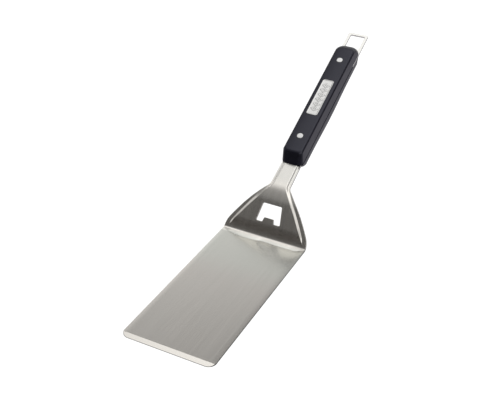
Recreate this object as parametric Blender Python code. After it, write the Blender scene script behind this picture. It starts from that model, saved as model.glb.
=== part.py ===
"""Grill turner: a pressed steel blank (blade, neck, tang and hanging loop in one sheet), two grip
scales, two rivets of two halves each, and a metal plate on its adhesive pad.

Metres, Z up.  The origin is the middle of the underside of the blade; +Y runs from the blade to the
grip.  The pieces of the grip hang on an empty, grip_datum, at the front of the grip on the tang's top
face; its Y axis runs back along the grip and its Z axis stands square on the tang.
"""

import math

import bmesh
import bpy
from mathutils import Vector
from mathutils.geometry import delaunay_2d_cdt

MM = 0.001

# ---- sheet and blade -------------------------------------------------------------------------------
SHEET = 2.0 * MM  # thickness of the pressed sheet
BLADE_WIDTH = 100.0 * MM
BLADE_LENGTH = 211.6 * MM  # front edge to the corner under the neck
BLADE_CORNER_R = 8.5 * MM  # front corners, in plan
BEVEL_WIDTH = 5.9 * MM  # ground bevel along the front edge
EDGE_THICKNESS = 0.5 * MM  # what the bevel leaves at the front edge

# ---- neck: _AT is a slope distance from the heel corner, _HALF the half width there ----------------
NECK_ANGLE = 56.5  # degrees over the blade
HEEL_R = 3.0 * MM  # inside radius where the neck leaves the blade
HEEL_STEPS = 6
NECK_CORNER = 51.7 * MM  # slope distance from the heel corner to the corner under the stem
CREST_R = 40.0 * MM  # soft bend from the neck into the stem
CREST_STEPS = 8
SHOULDER_AT, SHOULDER_R = 7.4 * MM, 28.0 * MM
FLARE_AT, FLARE_HALF, FLARE_R = 32.3 * MM, 35.0 * MM, 180 * MM
THROAT_AT, THROAT_HALF, THROAT_R = 60.9 * MM, 12.1 * MM, 9.0 * MM

# ---- stem, tang and hanging loop: distances along the tang count from the front of the grip --------
STEM_ANGLE = 24.9  # degrees over the blade
STEM_LENGTH = 32.6 * MM  # visible, from the crest to the grip
STEM_FROM_CORNER = 10.1 * MM  # from the crest corner to where the stem's length is counted from
STEM_HALF = 11.4 * MM
STEM_END, TANG_START = 3.2 * MM, 7.0 * MM  # the sheet narrows from the stem to the tang in between
TANG_HALF = 9.5 * MM
TANG_FLARE_START, TANG_FLARE_END = 158.0 * MM, 161.2 * MM
LOOP_HALF = 12.7 * MM
LOOP_BAR = 3.5 * MM
LOOP_END = 213.9 * MM
LOOP_CORNER_R = 2.4 * MM
WINDOW_START = 188.4 * MM
WINDOW_FRONT_R, WINDOW_REAR_R = 1.6 * MM, 1.0 * MM

# ---- raised panel that stiffens the neck and the stem ----------------------------------------------
PANEL_RISE = 1.5 * MM
FLANK_HALF = 1.15 * MM  # half of the width of the sloping flank round the panel
PANEL_START, PANEL_FULL = 1.9 * MM, 14.0 * MM  # slope distances: begins to rise, has its full height
PANEL_FADE, PANEL_END = 1.0 * MM, 7.0 * MM  # distances along the tang: begins to sink, is gone
PANEL_FOOT_HALF = 45.5 * MM
PANEL_SHOULDER_AT, PANEL_SHOULDER_HALF, PANEL_SHOULDER_R = 10.2 * MM, 42.2 * MM, 24 * MM
PANEL_FLARE_AT, PANEL_FLARE_HALF, PANEL_FLARE_R = 34.3 * MM, 27.2 * MM, 150 * MM
PANEL_THROAT_AT, PANEL_THROAT_HALF, PANEL_THROAT_R = 60.2 * MM, 8.8 * MM, 9 * MM
PANEL_STEM_HALF = 8.0 * MM

# ---- bottle opener, distances up the slope of the neck ---------------------------------------------
OPENER_TOP_AT, OPENER_TOP_HALF, OPENER_TOP_R = 37.7 * MM, 11.3 * MM, 1.5 * MM
OPENER_FOOT_AT, OPENER_FOOT_HALF, OPENER_FOOT_R = 16.9 * MM, 14.5 * MM, 1.3 * MM
TOOTH_AT, TOOTH_HALF, TOOTH_R = 22.2 * MM, 5.7 * MM, 1.3 * MM
TOOTH_ROOT_HALF, TOOTH_ROOT_R = 7.0 * MM, 0.9 * MM

# ---- grip scales -----------------------------------------------------------------------------------
PARTING = -SHEET / 2  # height of the parting plane, halfway through the tang
PARTING_GAP = 0.3 * MM
FIT = 0.3 * MM  # clearance round pieces that sit in one another
GRIP_LENGTH = 186.2 * MM
GRIP_HALF = 12.8 * MM  # at the parting plane
GRIP_TOP = 15.7 * MM  # over the top face of the tang
GRIP_BOTTOM = 12.9 * MM  # under that face
GRIP_LIP = 2.0 * MM  # how far the foot of the front end reaches in front of the grip datum
GRIP_FRONT_R, GRIP_REAR_R = 6.6 * MM, 8.5 * MM  # corners in plan at the parting plane
GRIP_BOW = 0.6 * MM  # how far the front end bulges in the middle
EDGE_CORNER_SHARE = 0.55  # share of an edge rounding that the corners in plan lose

TOP_SET_BACK = 5.0 * MM  # where the sloping front face ends, behind the grip datum
TOP_FRONT_EDGE = 4.2 * MM  # length of the rounding between the front face and the top
TOP_DRAFT, TOP_EDGE_R = 0.7 * MM, 2.8 * MM
TOP_FRONT_R = 4.2 * MM  # front corners in plan where the top edge's rounding springs
TOP_REAR_SHARE = 0.4  # EDGE_CORNER_SHARE of the upper scale's rear corners
REAR_SET_BACK, REAR_NOSE = 15.0 * MM, 1.6  # length and power of the rounded rear end
TOP_WALL_SHARES = (0, 0.25, 0.5, 0.75, 0.9, 1)  # levels up the side wall
TOP_EDGE_DEGREES = (22.5, 45, 67.5, 90)  # levels round the top edge

LOW_SET_BACK = 5.2 * MM  # slope of both end faces of the lower scale
LOW_DRAFT, LOW_EDGE_R = 0.4 * MM, 4.4 * MM
LOW_FRONT_EDGE, LOW_REAR_EDGE = 4.8 * MM, 5.4 * MM  # lengths of the rounding under the end faces
LOW_FRONT_R, LOW_REAR_R = 7.0 * MM, 8.4 * MM  # corners in plan where that rounding springs
LOW_EDGE_DEGREES = (0, 18, 36, 54, 72, 90)
BELLY_DEPTH, BELLY_WIDTH = 1.8 * MM, 0.4 * MM  # how far the lower scale swells down and sideways
BELLY_FROM, BELLY_TO = 26.0 * MM, 146.0 * MM
BELLY_STATIONS = 9

# ---- pockets for the tang: wide at the front and where the loop's bars leave -----------------------
POCKET_FRONT = -6 * MM  # in front of the grip
POCKET_MOUTH_HALF = TANG_HALF + 2.3 * MM
POCKET_MOUTH_END, POCKET_NARROW_FROM = 3.9 * MM, 7.6 * MM
POCKET_FLARE_START = TANG_FLARE_START - 0.4 * MM
POCKET_FLARE_END = TANG_FLARE_START + 5.0 * MM
POCKET_REACH = 3 * MM  # beyond the sides and the rear of the grip
POCKET_OVERCUT = 2 * MM  # past the parting plane
PANEL_MOUTH_HALF = PANEL_STEM_HALF + FLANK_HALF + 0.5 * MM
PANEL_MOUTH_END = 8.4 * MM
PANEL_MOUTH_OVERCUT = 1.5 * MM

# ---- rivets ----------------------------------------------------------------------------------------
RIVET_AT = {"front": 29.4 * MM, "rear": 151.9 * MM}
RIVET_SIDES = 32
RIVET_HEAD_R, RIVET_HEAD_T = 3.7 * MM, 1.5 * MM
RIVET_CROWN = 0.35 * MM  # height of the head's dome
RIVET_RIM_DROP = 0.15 * MM
SLEEVE_R, SLEEVE_BORE_R = 2.5 * MM, 1.7 * MM
SLEEVE_FOOT = -8.5 * MM
PIN_R, PIN_TOP = 1.45 * MM, 5.5 * MM
PIN_TIP_INSET, PIN_TIP_LENGTH = 0.5 * MM, 1.0 * MM  # tapered tip
BORE_TOP = PIN_TOP + 0.8 * MM
SHAFT_SIDES = 24
SHAFT_OVERCUT, SEAT_OVERCUT = 3 * MM, 4 * MM  # beyond the grip's top and underside

# ---- plate and pad ---------------------------------------------------------------------------------
PLATE_FROM, PLATE_TO = 62.5 * MM, 117.9 * MM
PLATE_HALF = 6.9 * MM
PLATE_CORNER_R, PLATE_CORNER_MIN_R = 2.6 * MM, 0.8 * MM
PLATE_T = 1.0 * MM
PLATE_RIM, PLATE_RIM_RISE = 1.0 * MM, 0.2 * MM  # raised border
RIM_CHAMFER_WIDTH, RIM_CHAMFER_HEIGHT = 0.15 * MM, 0.1 * MM
RIM_SLOPE = 0.25 * MM  # width of the border's inner slope
PAD_T = 0.4 * MM
PAD_INSET = 1.2 * MM
RECESS_FLOOR = GRIP_TOP - (PLATE_T + PAD_T + 2 * FIT)
RECESS_OVERCUT = 2 * MM  # above the grip

# ---- surfaces --------------------------------------------------------------------------------------
BRUSHED_STEEL = dict(colour=(0.62, 0.61, 0.59), roughness=0.30, metallic=1.0)
BLACK_RESIN = dict(colour=(0.022, 0.022, 0.026), roughness=0.42, metallic=0.0)
RIVET_STEEL = dict(colour=(0.66, 0.66, 0.65), roughness=0.28, metallic=1.0)
PLATE_STEEL = dict(colour=(0.70, 0.70, 0.68), roughness=0.30, metallic=1.0)
FOAM = dict(colour=(0.80, 0.79, 0.74), roughness=0.80, metallic=0.0)

# ---- lengths along the sheet, counted from the front edge ------------------------------------------
HEEL_TURN = math.radians(NECK_ANGLE)
CREST_TURN = math.radians(NECK_ANGLE - STEM_ANGLE)
HEEL_TANGENT = HEEL_R * math.tan(HEEL_TURN / 2)
CREST_TANGENT = CREST_R * math.tan(CREST_TURN / 2)
HEEL_START = BLADE_LENGTH - HEEL_TANGENT
HEEL_STOP = HEEL_START + HEEL_R * HEEL_TURN
CREST_START = HEEL_STOP + NECK_CORNER - HEEL_TANGENT - CREST_TANGENT
CREST_STOP = CREST_START + CREST_R * CREST_TURN
GRIP_START = CREST_STOP + STEM_LENGTH + STEM_FROM_CORNER - CREST_TANGENT

SIDE_LINE = (  # (length, curvature) of the sheet's top line, from the front edge
    (HEEL_START, 0.0),
    (HEEL_STOP - HEEL_START, 1 / HEEL_R),
    (CREST_START - HEEL_STOP, 0.0),
    (CREST_STOP - CREST_START, -1 / CREST_R),
    (math.inf, 0.0),
)


def neck(slope):
    """Length along the sheet of a slope distance up the neck."""
    return HEEL_STOP - HEEL_TANGENT + slope


def tang(distance):
    """Length along the sheet of a distance from the front of the grip."""
    return GRIP_START + distance


def side_line(along):
    """(y, z, angle) of the sheet's top line at a length along it."""
    y, z, angle = -BLADE_LENGTH / 2, SHEET, 0.0
    for length, curvature in SIDE_LINE:
        step = min(along, length)
        if curvature:
            turned_to = angle + curvature * step
            y += (math.sin(turned_to) - math.sin(angle)) / curvature
            z += (math.cos(angle) - math.cos(turned_to)) / curvature
            angle = turned_to
        else:
            y += step * math.cos(angle)
            z += step * math.sin(angle)
        along -= step
        if along <= 0:
            break
    return y, z, angle


# ---- flat paths: points are (x, length along the sheet or the grip) --------------------------------
def rounded_path(corners, pitch):
    """Open path round corners (x, along, radius), an arc point at least every pitch degrees.

    The first and the last corner stay sharp.
    """
    path = [Vector(corners[0][:2])]
    for before, (x, y, radius), after in zip(corners, corners[1:], corners[2:]):
        corner = Vector((x, y))
        back = (Vector(before[:2]) - corner).normalized()
        ahead = (Vector(after[:2]) - corner).normalized()
        turn = math.pi - back.angle(ahead)
        if radius <= 0 or turn < 1e-4:
            path.append(corner)
            continue
        reach = radius * math.tan(turn / 2)
        centre = corner + (back + ahead).normalized() * (radius / math.cos(turn / 2))
        start = corner + back * reach - centre
        side = 1.0 if back.x * ahead.y - back.y * ahead.x < 0 else -1.0
        steps = max(1, math.ceil(turn / math.radians(pitch)))
        for i in range(steps + 1):
            angle = side * turn * i / steps
            cos, sin = math.cos(angle), math.sin(angle)
            path.append(
                centre + Vector((cos * start.x - sin * start.y, sin * start.x + cos * start.y))
            )
    path.append(Vector(corners[-1][:2]))
    return path


def offset_path(path, offset):
    """A rising path moved outward in its plane; its ends keep their lengths along."""
    out = []
    for i, point in enumerate(path):
        tangent = (path[min(i + 1, len(path) - 1)] - path[max(i - 1, 0)]).normalized()
        out.append(point + Vector((tangent.y, -tangent.x)) * offset)
    out[0] = Vector((out[0].x, path[0].y))
    out[-1] = Vector((out[-1].x, path[-1].y))
    return out


def add_stations(path, stations, snap=0.2 * MM):
    """The path with a point at each station; a point of the path closer than snap moves there."""
    out = list(path)
    for along in stations:
        for i, (start, end) in enumerate(zip(out, out[1:])):
            low, high = sorted((start.y, end.y))
            if not low <= along <= high or high - low < 1e-9:
                continue
            at = start.lerp(end, (along - start.y) / (end.y - start.y))
            if abs(along - start.y) < snap and i > 0:
                out[i] = at
            elif abs(along - end.y) < snap and i + 2 < len(out):
                out[i + 1] = at
            elif min(abs(along - start.y), abs(along - end.y)) > 1e-9:
                out.insert(i + 1, at)
            break
    return out


def half_at(path, along):
    """Half width of a rising path at a length along."""
    for start, end in zip(path, path[1:]):
        if start.y <= along <= end.y and end.y > start.y:
            return start.lerp(end, (along - start.y) / (end.y - start.y)).x
    raise ValueError("length outside the path")


def mirrored(path):
    return [Vector((-point.x, point.y)) for point in path]


def closed_loop(half):
    """Both halves of a symmetrical outline that starts and ends on the centre line."""
    return half + mirrored(half)[-2:0:-1]


def circle(along, radius, sides):
    """Points of a circle round a centre on the centre line."""
    turns = [2 * math.pi * i / sides for i in range(sides)]
    return [Vector((radius * math.cos(t), along + radius * math.sin(t))) for t in turns]


def inside(loop, x, y):
    odd = False
    for start, end in zip(loop, loop[1:] + loop[:1]):
        if (start.y > y) != (end.y > y):
            if x < start.x + (y - start.y) * (end.x - start.x) / (end.y - start.y):
                odd = not odd
    return odd


# ---- outlines in the flat sheet, right halves: (x, length along the sheet, corner radius) ----------
outer_half = rounded_path(
    [
        (0.0, 0.0, 0),
        (BLADE_WIDTH / 2, 0.0, BLADE_CORNER_R),
        (BLADE_WIDTH / 2, neck(SHOULDER_AT), SHOULDER_R),
        (FLARE_HALF, neck(FLARE_AT), FLARE_R),
        (THROAT_HALF, neck(THROAT_AT), THROAT_R),
        (STEM_HALF, tang(STEM_END), 0),
        (TANG_HALF, tang(TANG_START), 0),
        (TANG_HALF, tang(TANG_FLARE_START), 0),
        (LOOP_HALF, tang(TANG_FLARE_END), 0),
        (LOOP_HALF, tang(LOOP_END), LOOP_CORNER_R),
        (0.0, tang(LOOP_END), 0),
    ],
    pitch=11,
)
panel_half = rounded_path(
    [
        (PANEL_FOOT_HALF, neck(PANEL_START), 0),
        (PANEL_SHOULDER_HALF, neck(PANEL_SHOULDER_AT), PANEL_SHOULDER_R),
        (PANEL_FLARE_HALF, neck(PANEL_FLARE_AT), PANEL_FLARE_R),
        (PANEL_THROAT_HALF, neck(PANEL_THROAT_AT), PANEL_THROAT_R),
        (PANEL_STEM_HALF, tang(PANEL_END), 0),
    ],
    pitch=6,
)
opener_half = rounded_path(
    [
        (0.0, neck(TOOTH_AT), 0),
        (TOOTH_HALF, neck(TOOTH_AT), TOOTH_R),
        (TOOTH_ROOT_HALF, neck(OPENER_FOOT_AT), TOOTH_ROOT_R),
        (OPENER_FOOT_HALF, neck(OPENER_FOOT_AT), OPENER_FOOT_R),
        (OPENER_TOP_HALF, neck(OPENER_TOP_AT), OPENER_TOP_R),
        (0.0, neck(OPENER_TOP_AT), 0),
    ],
    pitch=30,
)
window_half = rounded_path(
    [
        (0.0, tang(WINDOW_START), 0),
        (LOOP_HALF - LOOP_BAR, tang(WINDOW_START), WINDOW_FRONT_R),
        (LOOP_HALF - LOOP_BAR, tang(LOOP_END) - LOOP_BAR, WINDOW_REAR_R),
        (0.0, tang(LOOP_END) - LOOP_BAR, 0),
    ],
    pitch=30,
)

# rows of points across the sheet, where it bends or the panel changes
heel_rows = [
    HEEL_START + (HEEL_STOP - HEEL_START) * i / HEEL_STEPS for i in range(HEEL_STEPS + 1)
]
crest_rows = [
    CREST_START + (CREST_STOP - CREST_START) * i / CREST_STEPS for i in range(CREST_STEPS + 1)
]
panel_rows = [neck(PANEL_FULL)] + crest_rows + [tang(PANEL_FADE)]

# crest and foot of the panel's flank, and the sheet's edge, with points on the rows
crest_line = add_stations(offset_path(panel_half, -FLANK_HALF), panel_rows)
foot_line = add_stations(offset_path(panel_half, FLANK_HALF), panel_rows)
outer_line = add_stations(outer_half, [BEVEL_WIDTH] + heel_rows + panel_rows)

outline = closed_loop(outer_line)
holes = [closed_loop(opener_half), closed_loop(window_half)]
holes += [circle(tang(at), SLEEVE_R + FIT, SHAFT_SIDES) for at in RIVET_AT.values()]


# ---- meshes and surfaces ---------------------------------------------------------------------------
def finish_mesh(name, bm, sharp_degrees):
    bmesh.ops.recalc_face_normals(bm, faces=bm.faces)
    mesh = bpy.data.meshes.new(name)
    bm.to_mesh(mesh)
    bm.free()
    mesh.shade_smooth()
    mesh.set_sharp_from_angle(angle=math.radians(sharp_degrees))
    obj = bpy.data.objects.new(name, mesh)
    bpy.context.scene.collection.objects.link(obj)
    return obj


def paint(obj, name, colour, roughness, metallic):
    """Give the object a new material of its own."""
    mat = bpy.data.materials.new(name)
    mat.use_nodes = True
    shader = mat.node_tree.nodes["Principled BSDF"]
    shader.inputs["Base Color"].default_value = (*colour, 1)
    shader.inputs["Roughness"].default_value = roughness
    shader.inputs["Metallic"].default_value = metallic
    mat.diffuse_color = (*colour, 1)
    obj.data.materials.append(mat)


def loft(name, levels, swells=False):
    """A closed solid through plans at rising heights: levels are (height, plan)."""
    bm = bmesh.new()
    rings = []
    for height, ring in levels:
        places = [(point.x, point.y, height) for point in ring]
        if swells:
            places = [swollen(*place) for place in places]
        rings.append([bm.verts.new(place) for place in places])
    bottom = rings[0]
    count = len(bottom)
    for lower, upper in zip(rings, rings[1:]):
        for i in range(count):
            j = (i + 1) % count
            bm.faces.new((lower[i], lower[j], upper[j], upper[i]))
    bm.faces.new(rings[-1])
    if swells:
        # the underside isn't flat, so it is closed by strips from side to side
        middle = count // 2
        strips = [(0, 1, 2, count - 2, count - 1)]
        strips += [(i, i + 1, count - i - 1, count - i) for i in range(2, middle - 2)]
        strips += [tuple(range(middle - 2, middle + 3))]
        for strip in strips:
            bm.faces.new([bottom[i] for i in strip])
    else:
        bm.faces.new(bottom[::-1])
    return finish_mesh(name, bm, sharp_degrees=40)


def turned(name, profile):
    """A solid turned about local Z from (radius, height) points that start and end on the axis."""
    bm = bmesh.new()
    rings = []
    for radius, z in profile:
        ring = [Vector((0, 0))] if radius == 0 else circle(0, radius, RIVET_SIDES)
        rings.append([bm.verts.new((point.x, point.y, z)) for point in ring])
    for ring, following in zip(rings, rings[1:]):
        for i in range(RIVET_SIDES):
            j = (i + 1) % RIVET_SIDES
            if len(ring) == 1:
                bm.faces.new((ring[0], following[i], following[j]))
            elif len(following) == 1:
                bm.faces.new((ring[i], following[0], ring[j]))
            else:
                bm.faces.new((ring[i], following[i], following[j], ring[j]))
    return finish_mesh(name, bm, sharp_degrees=35)


def prism(name, loop, low, high):
    """A cutter: a plan loop between two heights."""
    cutter = loft(name, [(low, loop), (high, loop)])
    cutter.hide_render = True
    cutter.display_type = "WIRE"
    return cutter


def cut(obj, cutter, label):
    modifier = obj.modifiers.new(label, "BOOLEAN")
    modifier.operation = "DIFFERENCE"
    modifier.solver = "EXACT"
    modifier.object = cutter


# ---- blank -----------------------------------------------------------------------------------------
def panel_share(x, along):
    """1 on the raised panel, 0 off it, in between on its flanks and ends."""
    if not panel_half[0].y - 1e-7 <= along <= panel_half[-1].y + 1e-7:
        return 0.0
    rising = (along - neck(PANEL_START)) / (PANEL_FULL - PANEL_START)
    sinking = (tang(PANEL_END) - along) / (PANEL_END - PANEL_FADE)
    share = max(0.0, min(1.0, rising, sinking))
    crest, foot = half_at(crest_line, along), half_at(foot_line, along)
    return share * max(0.0, min(1.0, (foot - abs(x)) / (foot - crest)))


def sheet_point(x, along, under):
    """The point over (x, along) of the flat sheet, on the sheet's upper or its under face."""
    y, z, angle = side_line(along)
    height = PANEL_RISE * panel_share(x, along)
    if under:
        height -= SHEET
    elif along < BEVEL_WIDTH:
        height -= (SHEET - EDGE_THICKNESS) * (1 - along / BEVEL_WIDTH)
    return Vector((x, y - height * math.sin(angle), z + height * math.cos(angle)))


def flat_triangles():
    """Points and triangles of the flat sheet, with edges along the rows and the panel's flank."""
    points, edges = [], []

    def add_chain(chain, close=False):
        first, count = len(points), len(chain)
        points.extend(chain)
        edges.extend(
            (first + i, first + (i + 1) % count) for i in range(count if close else count - 1)
        )

    def add_row(along, lines):
        """A row from side to side with points on these lines, the outermost line first."""
        halves = [half_at(line, along) for line in lines]
        add_chain([Vector((x, along)) for x in [-half for half in halves] + halves[::-1]])

    for loop in [outline] + holes:
        add_chain(loop, close=True)
    for line in (crest_line, foot_line):
        add_chain(line)
        add_chain(mirrored(line))
    for along in [BEVEL_WIDTH] + heel_rows:
        add_row(along, [outer_line])
    for along in panel_rows:
        add_row(along, [outer_line, foot_line, crest_line])

    # scaled up so that the triangulation's tolerance is far below a corner's facets
    scale = 1000.0
    verts, _, faces, *_ = delaunay_2d_cdt([p * scale for p in points], edges, [], 0, 1e-4)
    flat = [vert / scale for vert in verts]
    kept = []
    for face in faces:
        x = sum(flat[i].x for i in face) / 3
        y = sum(flat[i].y for i in face) / 3
        if inside(outline, x, y) and not any(inside(hole, x, y) for hole in holes):
            kept.append(face)
    return flat, kept


def build_blank():
    flat, faces = flat_triangles()
    bm = bmesh.new()
    used = sorted({i for face in faces for i in face})
    top = {i: bm.verts.new(sheet_point(*flat[i], under=False)) for i in used}
    low = {i: bm.verts.new(sheet_point(*flat[i], under=True)) for i in used}
    sides = {}  # directed edges in order; one without its reverse lies on the sheet's edge
    for face in faces:
        bm.faces.new([top[i] for i in face])
        bm.faces.new([low[i] for i in reversed(face)])
        sides.update(dict.fromkeys(zip(face, face[1:] + face[:1])))
    for start, end in sides:
        if (end, start) not in sides:
            bm.faces.new((top[end], top[start], low[start], low[end]))
    blank = finish_mesh("turner_blank", bm, sharp_degrees=30)
    paint(blank, "brushed_stainless", **BRUSHED_STEEL)
    return blank


# ---- grip scales -----------------------------------------------------------------------------------
def plan(front, rear, half, front_r, rear_r, bow=0.0, stations=0):
    """Rounded rectangle in the grip's frame, counter-clockwise from the middle of its front.

    The front may bow outward, and the straight sides may be split at a number of stations.
    """
    right = rounded_path(
        [
            (0.0, front, 0),
            ((half - front_r) * 0.5, front, 0),
            (half, front, front_r),
            (half, rear, rear_r),
            (0.0, rear, 0),
        ],
        pitch=15,
    )
    for point in right:
        if point.y < front + front_r:
            point.y -= bow * (1 - (point.x / half) ** 2) * (1 - (point.y - front) / front_r)
    if stations:
        longest = max(range(len(right) - 1), key=lambda k: right[k + 1].y - right[k].y)
        start, end = right[longest : longest + 2]
        right[longest + 1 : longest + 1] = [
            start.lerp(end, (k + 1) / (stations + 1)) for k in range(stations)
        ]
    return closed_loop(right)


def swollen(x, y, z):
    """A point of the lower scale moved by the belly, which grows from the parting face down."""
    along = min(1.0, max(0.0, (y - BELLY_FROM) / (BELLY_TO - BELLY_FROM)))
    down = min(1.0, max(0.0, (PARTING - z) / (GRIP_BOTTOM + PARTING)))
    share = math.sin(math.pi * along) ** 2 * down
    return (x * (1 + BELLY_WIDTH / GRIP_HALF * share), y, z - BELLY_DEPTH * share)


def nose(share):
    """Share of the rear's set-back at a share of the height: upright below, level at the crown."""
    return 1 - max(0.0, 1 - share**REAR_NOSE) ** (1 / REAR_NOSE)


def upper_levels():
    """Levels of the upper scale, from the parting face to its crown."""
    low = PARTING + PARTING_GAP / 2
    spring = GRIP_TOP - TOP_EDGE_R
    heights = [low + (spring - low) * share for share in TOP_WALL_SHARES]
    heights += [spring + TOP_EDGE_R * math.sin(math.radians(a)) for a in TOP_EDGE_DEGREES]
    levels = []
    for height in heights:
        wall = min(1.0, (height - low) / (spring - low))
        edge = max(0.0, (height - spring) / TOP_EDGE_R)
        inward = 1 - math.sqrt(max(0.0, 1 - edge * edge))
        ring = plan(
            front=-GRIP_LIP + (GRIP_LIP + TOP_SET_BACK) * wall + TOP_FRONT_EDGE * inward,
            rear=GRIP_LENGTH - REAR_SET_BACK * nose(max(0.0, height) / GRIP_TOP),
            half=GRIP_HALF - TOP_DRAFT * wall - TOP_EDGE_R * inward,
            front_r=GRIP_FRONT_R
            + (TOP_FRONT_R - GRIP_FRONT_R) * wall
            - EDGE_CORNER_SHARE * TOP_EDGE_R * inward,
            rear_r=GRIP_REAR_R - TOP_REAR_SHARE * TOP_EDGE_R * inward,
            bow=GRIP_BOW,
        )
        levels.append((height, ring))
    return levels


def lower_levels():
    """Levels of the lower scale, from its underside up to the parting face."""
    shape = dict(bow=GRIP_BOW, stations=BELLY_STATIONS)
    parting_ring = plan(-GRIP_LIP, GRIP_LENGTH, GRIP_HALF, GRIP_FRONT_R, GRIP_REAR_R, **shape)
    levels = [(PARTING - PARTING_GAP / 2, parting_ring)]
    spring = -GRIP_BOTTOM + LOW_EDGE_R
    for degrees in LOW_EDGE_DEGREES:
        inward = 1 - math.cos(math.radians(degrees))
        down = math.sin(math.radians(degrees))
        corner_loss = EDGE_CORNER_SHARE * LOW_EDGE_R * inward
        ring = plan(
            front=LOW_SET_BACK + LOW_FRONT_EDGE * inward,
            rear=GRIP_LENGTH - LOW_SET_BACK - LOW_REAR_EDGE * inward,
            half=GRIP_HALF - LOW_DRAFT - LOW_EDGE_R * inward,
            front_r=LOW_FRONT_R - corner_loss,
            rear_r=LOW_REAR_R - corner_loss,
            **shape,
        )
        levels.append((spring - LOW_EDGE_R * down, ring))
    return levels[::-1]


def build_scales():
    upper = loft("upper_scale", upper_levels())
    lower = loft("lower_scale", lower_levels(), swells=True)
    paint(upper, "black_resin", **BLACK_RESIN)
    paint(lower, "black_resin_lower", **BLACK_RESIN)
    return upper, lower


def cut_pockets(upper, lower):
    """Room for the tang in both scales, and for the end of the raised panel in the upper one."""
    pocket = closed_loop(
        [
            Vector((0, POCKET_FRONT)),
            Vector((POCKET_MOUTH_HALF, POCKET_FRONT)),
            Vector((POCKET_MOUTH_HALF, POCKET_MOUTH_END)),
            Vector((TANG_HALF + FIT, POCKET_NARROW_FROM)),
            Vector((TANG_HALF + FIT, POCKET_FLARE_START)),
            Vector((GRIP_HALF + POCKET_REACH, POCKET_FLARE_END)),
            Vector((GRIP_HALF + POCKET_REACH, GRIP_LENGTH + POCKET_REACH)),
            Vector((0, GRIP_LENGTH + POCKET_REACH)),
        ]
    )
    mouth = [
        Vector((PANEL_MOUTH_HALF, POCKET_FRONT)),
        Vector((PANEL_MOUTH_HALF, PANEL_MOUTH_END)),
        Vector((-PANEL_MOUTH_HALF, PANEL_MOUTH_END)),
        Vector((-PANEL_MOUTH_HALF, POCKET_FRONT)),
    ]
    upper_pocket = prism("cut_upper_pocket", pocket, PARTING - POCKET_OVERCUT, FIT)
    lower_pocket = prism("cut_lower_pocket", pocket, -SHEET - FIT, PARTING + POCKET_OVERCUT)
    panel_mouth = prism(
        "cut_panel_mouth", mouth, PARTING - PANEL_MOUTH_OVERCUT, PANEL_RISE + FIT
    )
    cut(upper, upper_pocket, "tang_pocket")
    cut(upper, panel_mouth, "panel_mouth")
    cut(lower, lower_pocket, "tang_pocket")


# ---- plate and pad ---------------------------------------------------------------------------------
def plate_plan(inset):
    corner_r = max(PLATE_CORNER_MIN_R, PLATE_CORNER_R - inset)
    return plan(PLATE_FROM + inset, PLATE_TO - inset, PLATE_HALF - inset, corner_r, corner_r)


def cut_plate_recess(upper):
    recess = prism(
        "cut_plate_recess", plate_plan(-FIT), RECESS_FLOOR, GRIP_TOP + RECESS_OVERCUT
    )
    cut(upper, recess, "plate_recess")


def build_plate():
    """A stamped plate with a raised border."""
    rim_top = GRIP_TOP + PLATE_RIM_RISE
    levels = [
        (GRIP_TOP - PLATE_T, plate_plan(0)),
        (rim_top - RIM_CHAMFER_HEIGHT, plate_plan(0)),
        (rim_top, plate_plan(RIM_CHAMFER_WIDTH)),
        (rim_top, plate_plan(PLATE_RIM)),
        (GRIP_TOP, plate_plan(PLATE_RIM + RIM_SLOPE)),
    ]
    paint(loft("name_plate", levels), "plate_steel", **PLATE_STEEL)


def build_pad():
    low = RECESS_FLOOR + FIT
    ring = plate_plan(PAD_INSET)
    pad = loft("plate_adhesive_pad", [(low, ring), (low + PAD_T, ring)])
    paint(pad, "adhesive_foam", **FOAM)


# ---- rivets ----------------------------------------------------------------------------------------
def cut_rivet_holes(upper, lower, label, at):
    """A shaft through both scales and a seat for the head in each."""
    shaft_loop = circle(at, SLEEVE_R + FIT, SHAFT_SIDES)
    seat_loop = circle(at, RIVET_HEAD_R + FIT, RIVET_SIDES)
    seat_depth = RIVET_HEAD_T + FIT
    shaft = prism(
        f"cut_{label}_shaft", shaft_loop, -GRIP_BOTTOM - SHAFT_OVERCUT, GRIP_TOP + SHAFT_OVERCUT
    )
    seat_top = prism(
        f"cut_{label}_seat_top", seat_loop, GRIP_TOP - seat_depth, GRIP_TOP + SEAT_OVERCUT
    )
    seat_low = prism(
        f"cut_{label}_seat_low", seat_loop, -GRIP_BOTTOM - SEAT_OVERCUT, -GRIP_BOTTOM + seat_depth
    )
    for scale, seat in ((upper, seat_top), (lower, seat_low)):
        cut(scale, shaft, f"{label}_shaft")
        cut(scale, seat, f"{label}_seat")


def head_dome():
    """(radius, height over the grip's face) of a head's shallow dome, from its axis to its rim."""
    dome = [(RIVET_HEAD_R * f, RIVET_CROWN * (1 - f * f)) for f in (0, 0.35, 0.65, 0.9)]
    return dome + [(RIVET_HEAD_R, -RIVET_RIM_DROP)]


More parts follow.
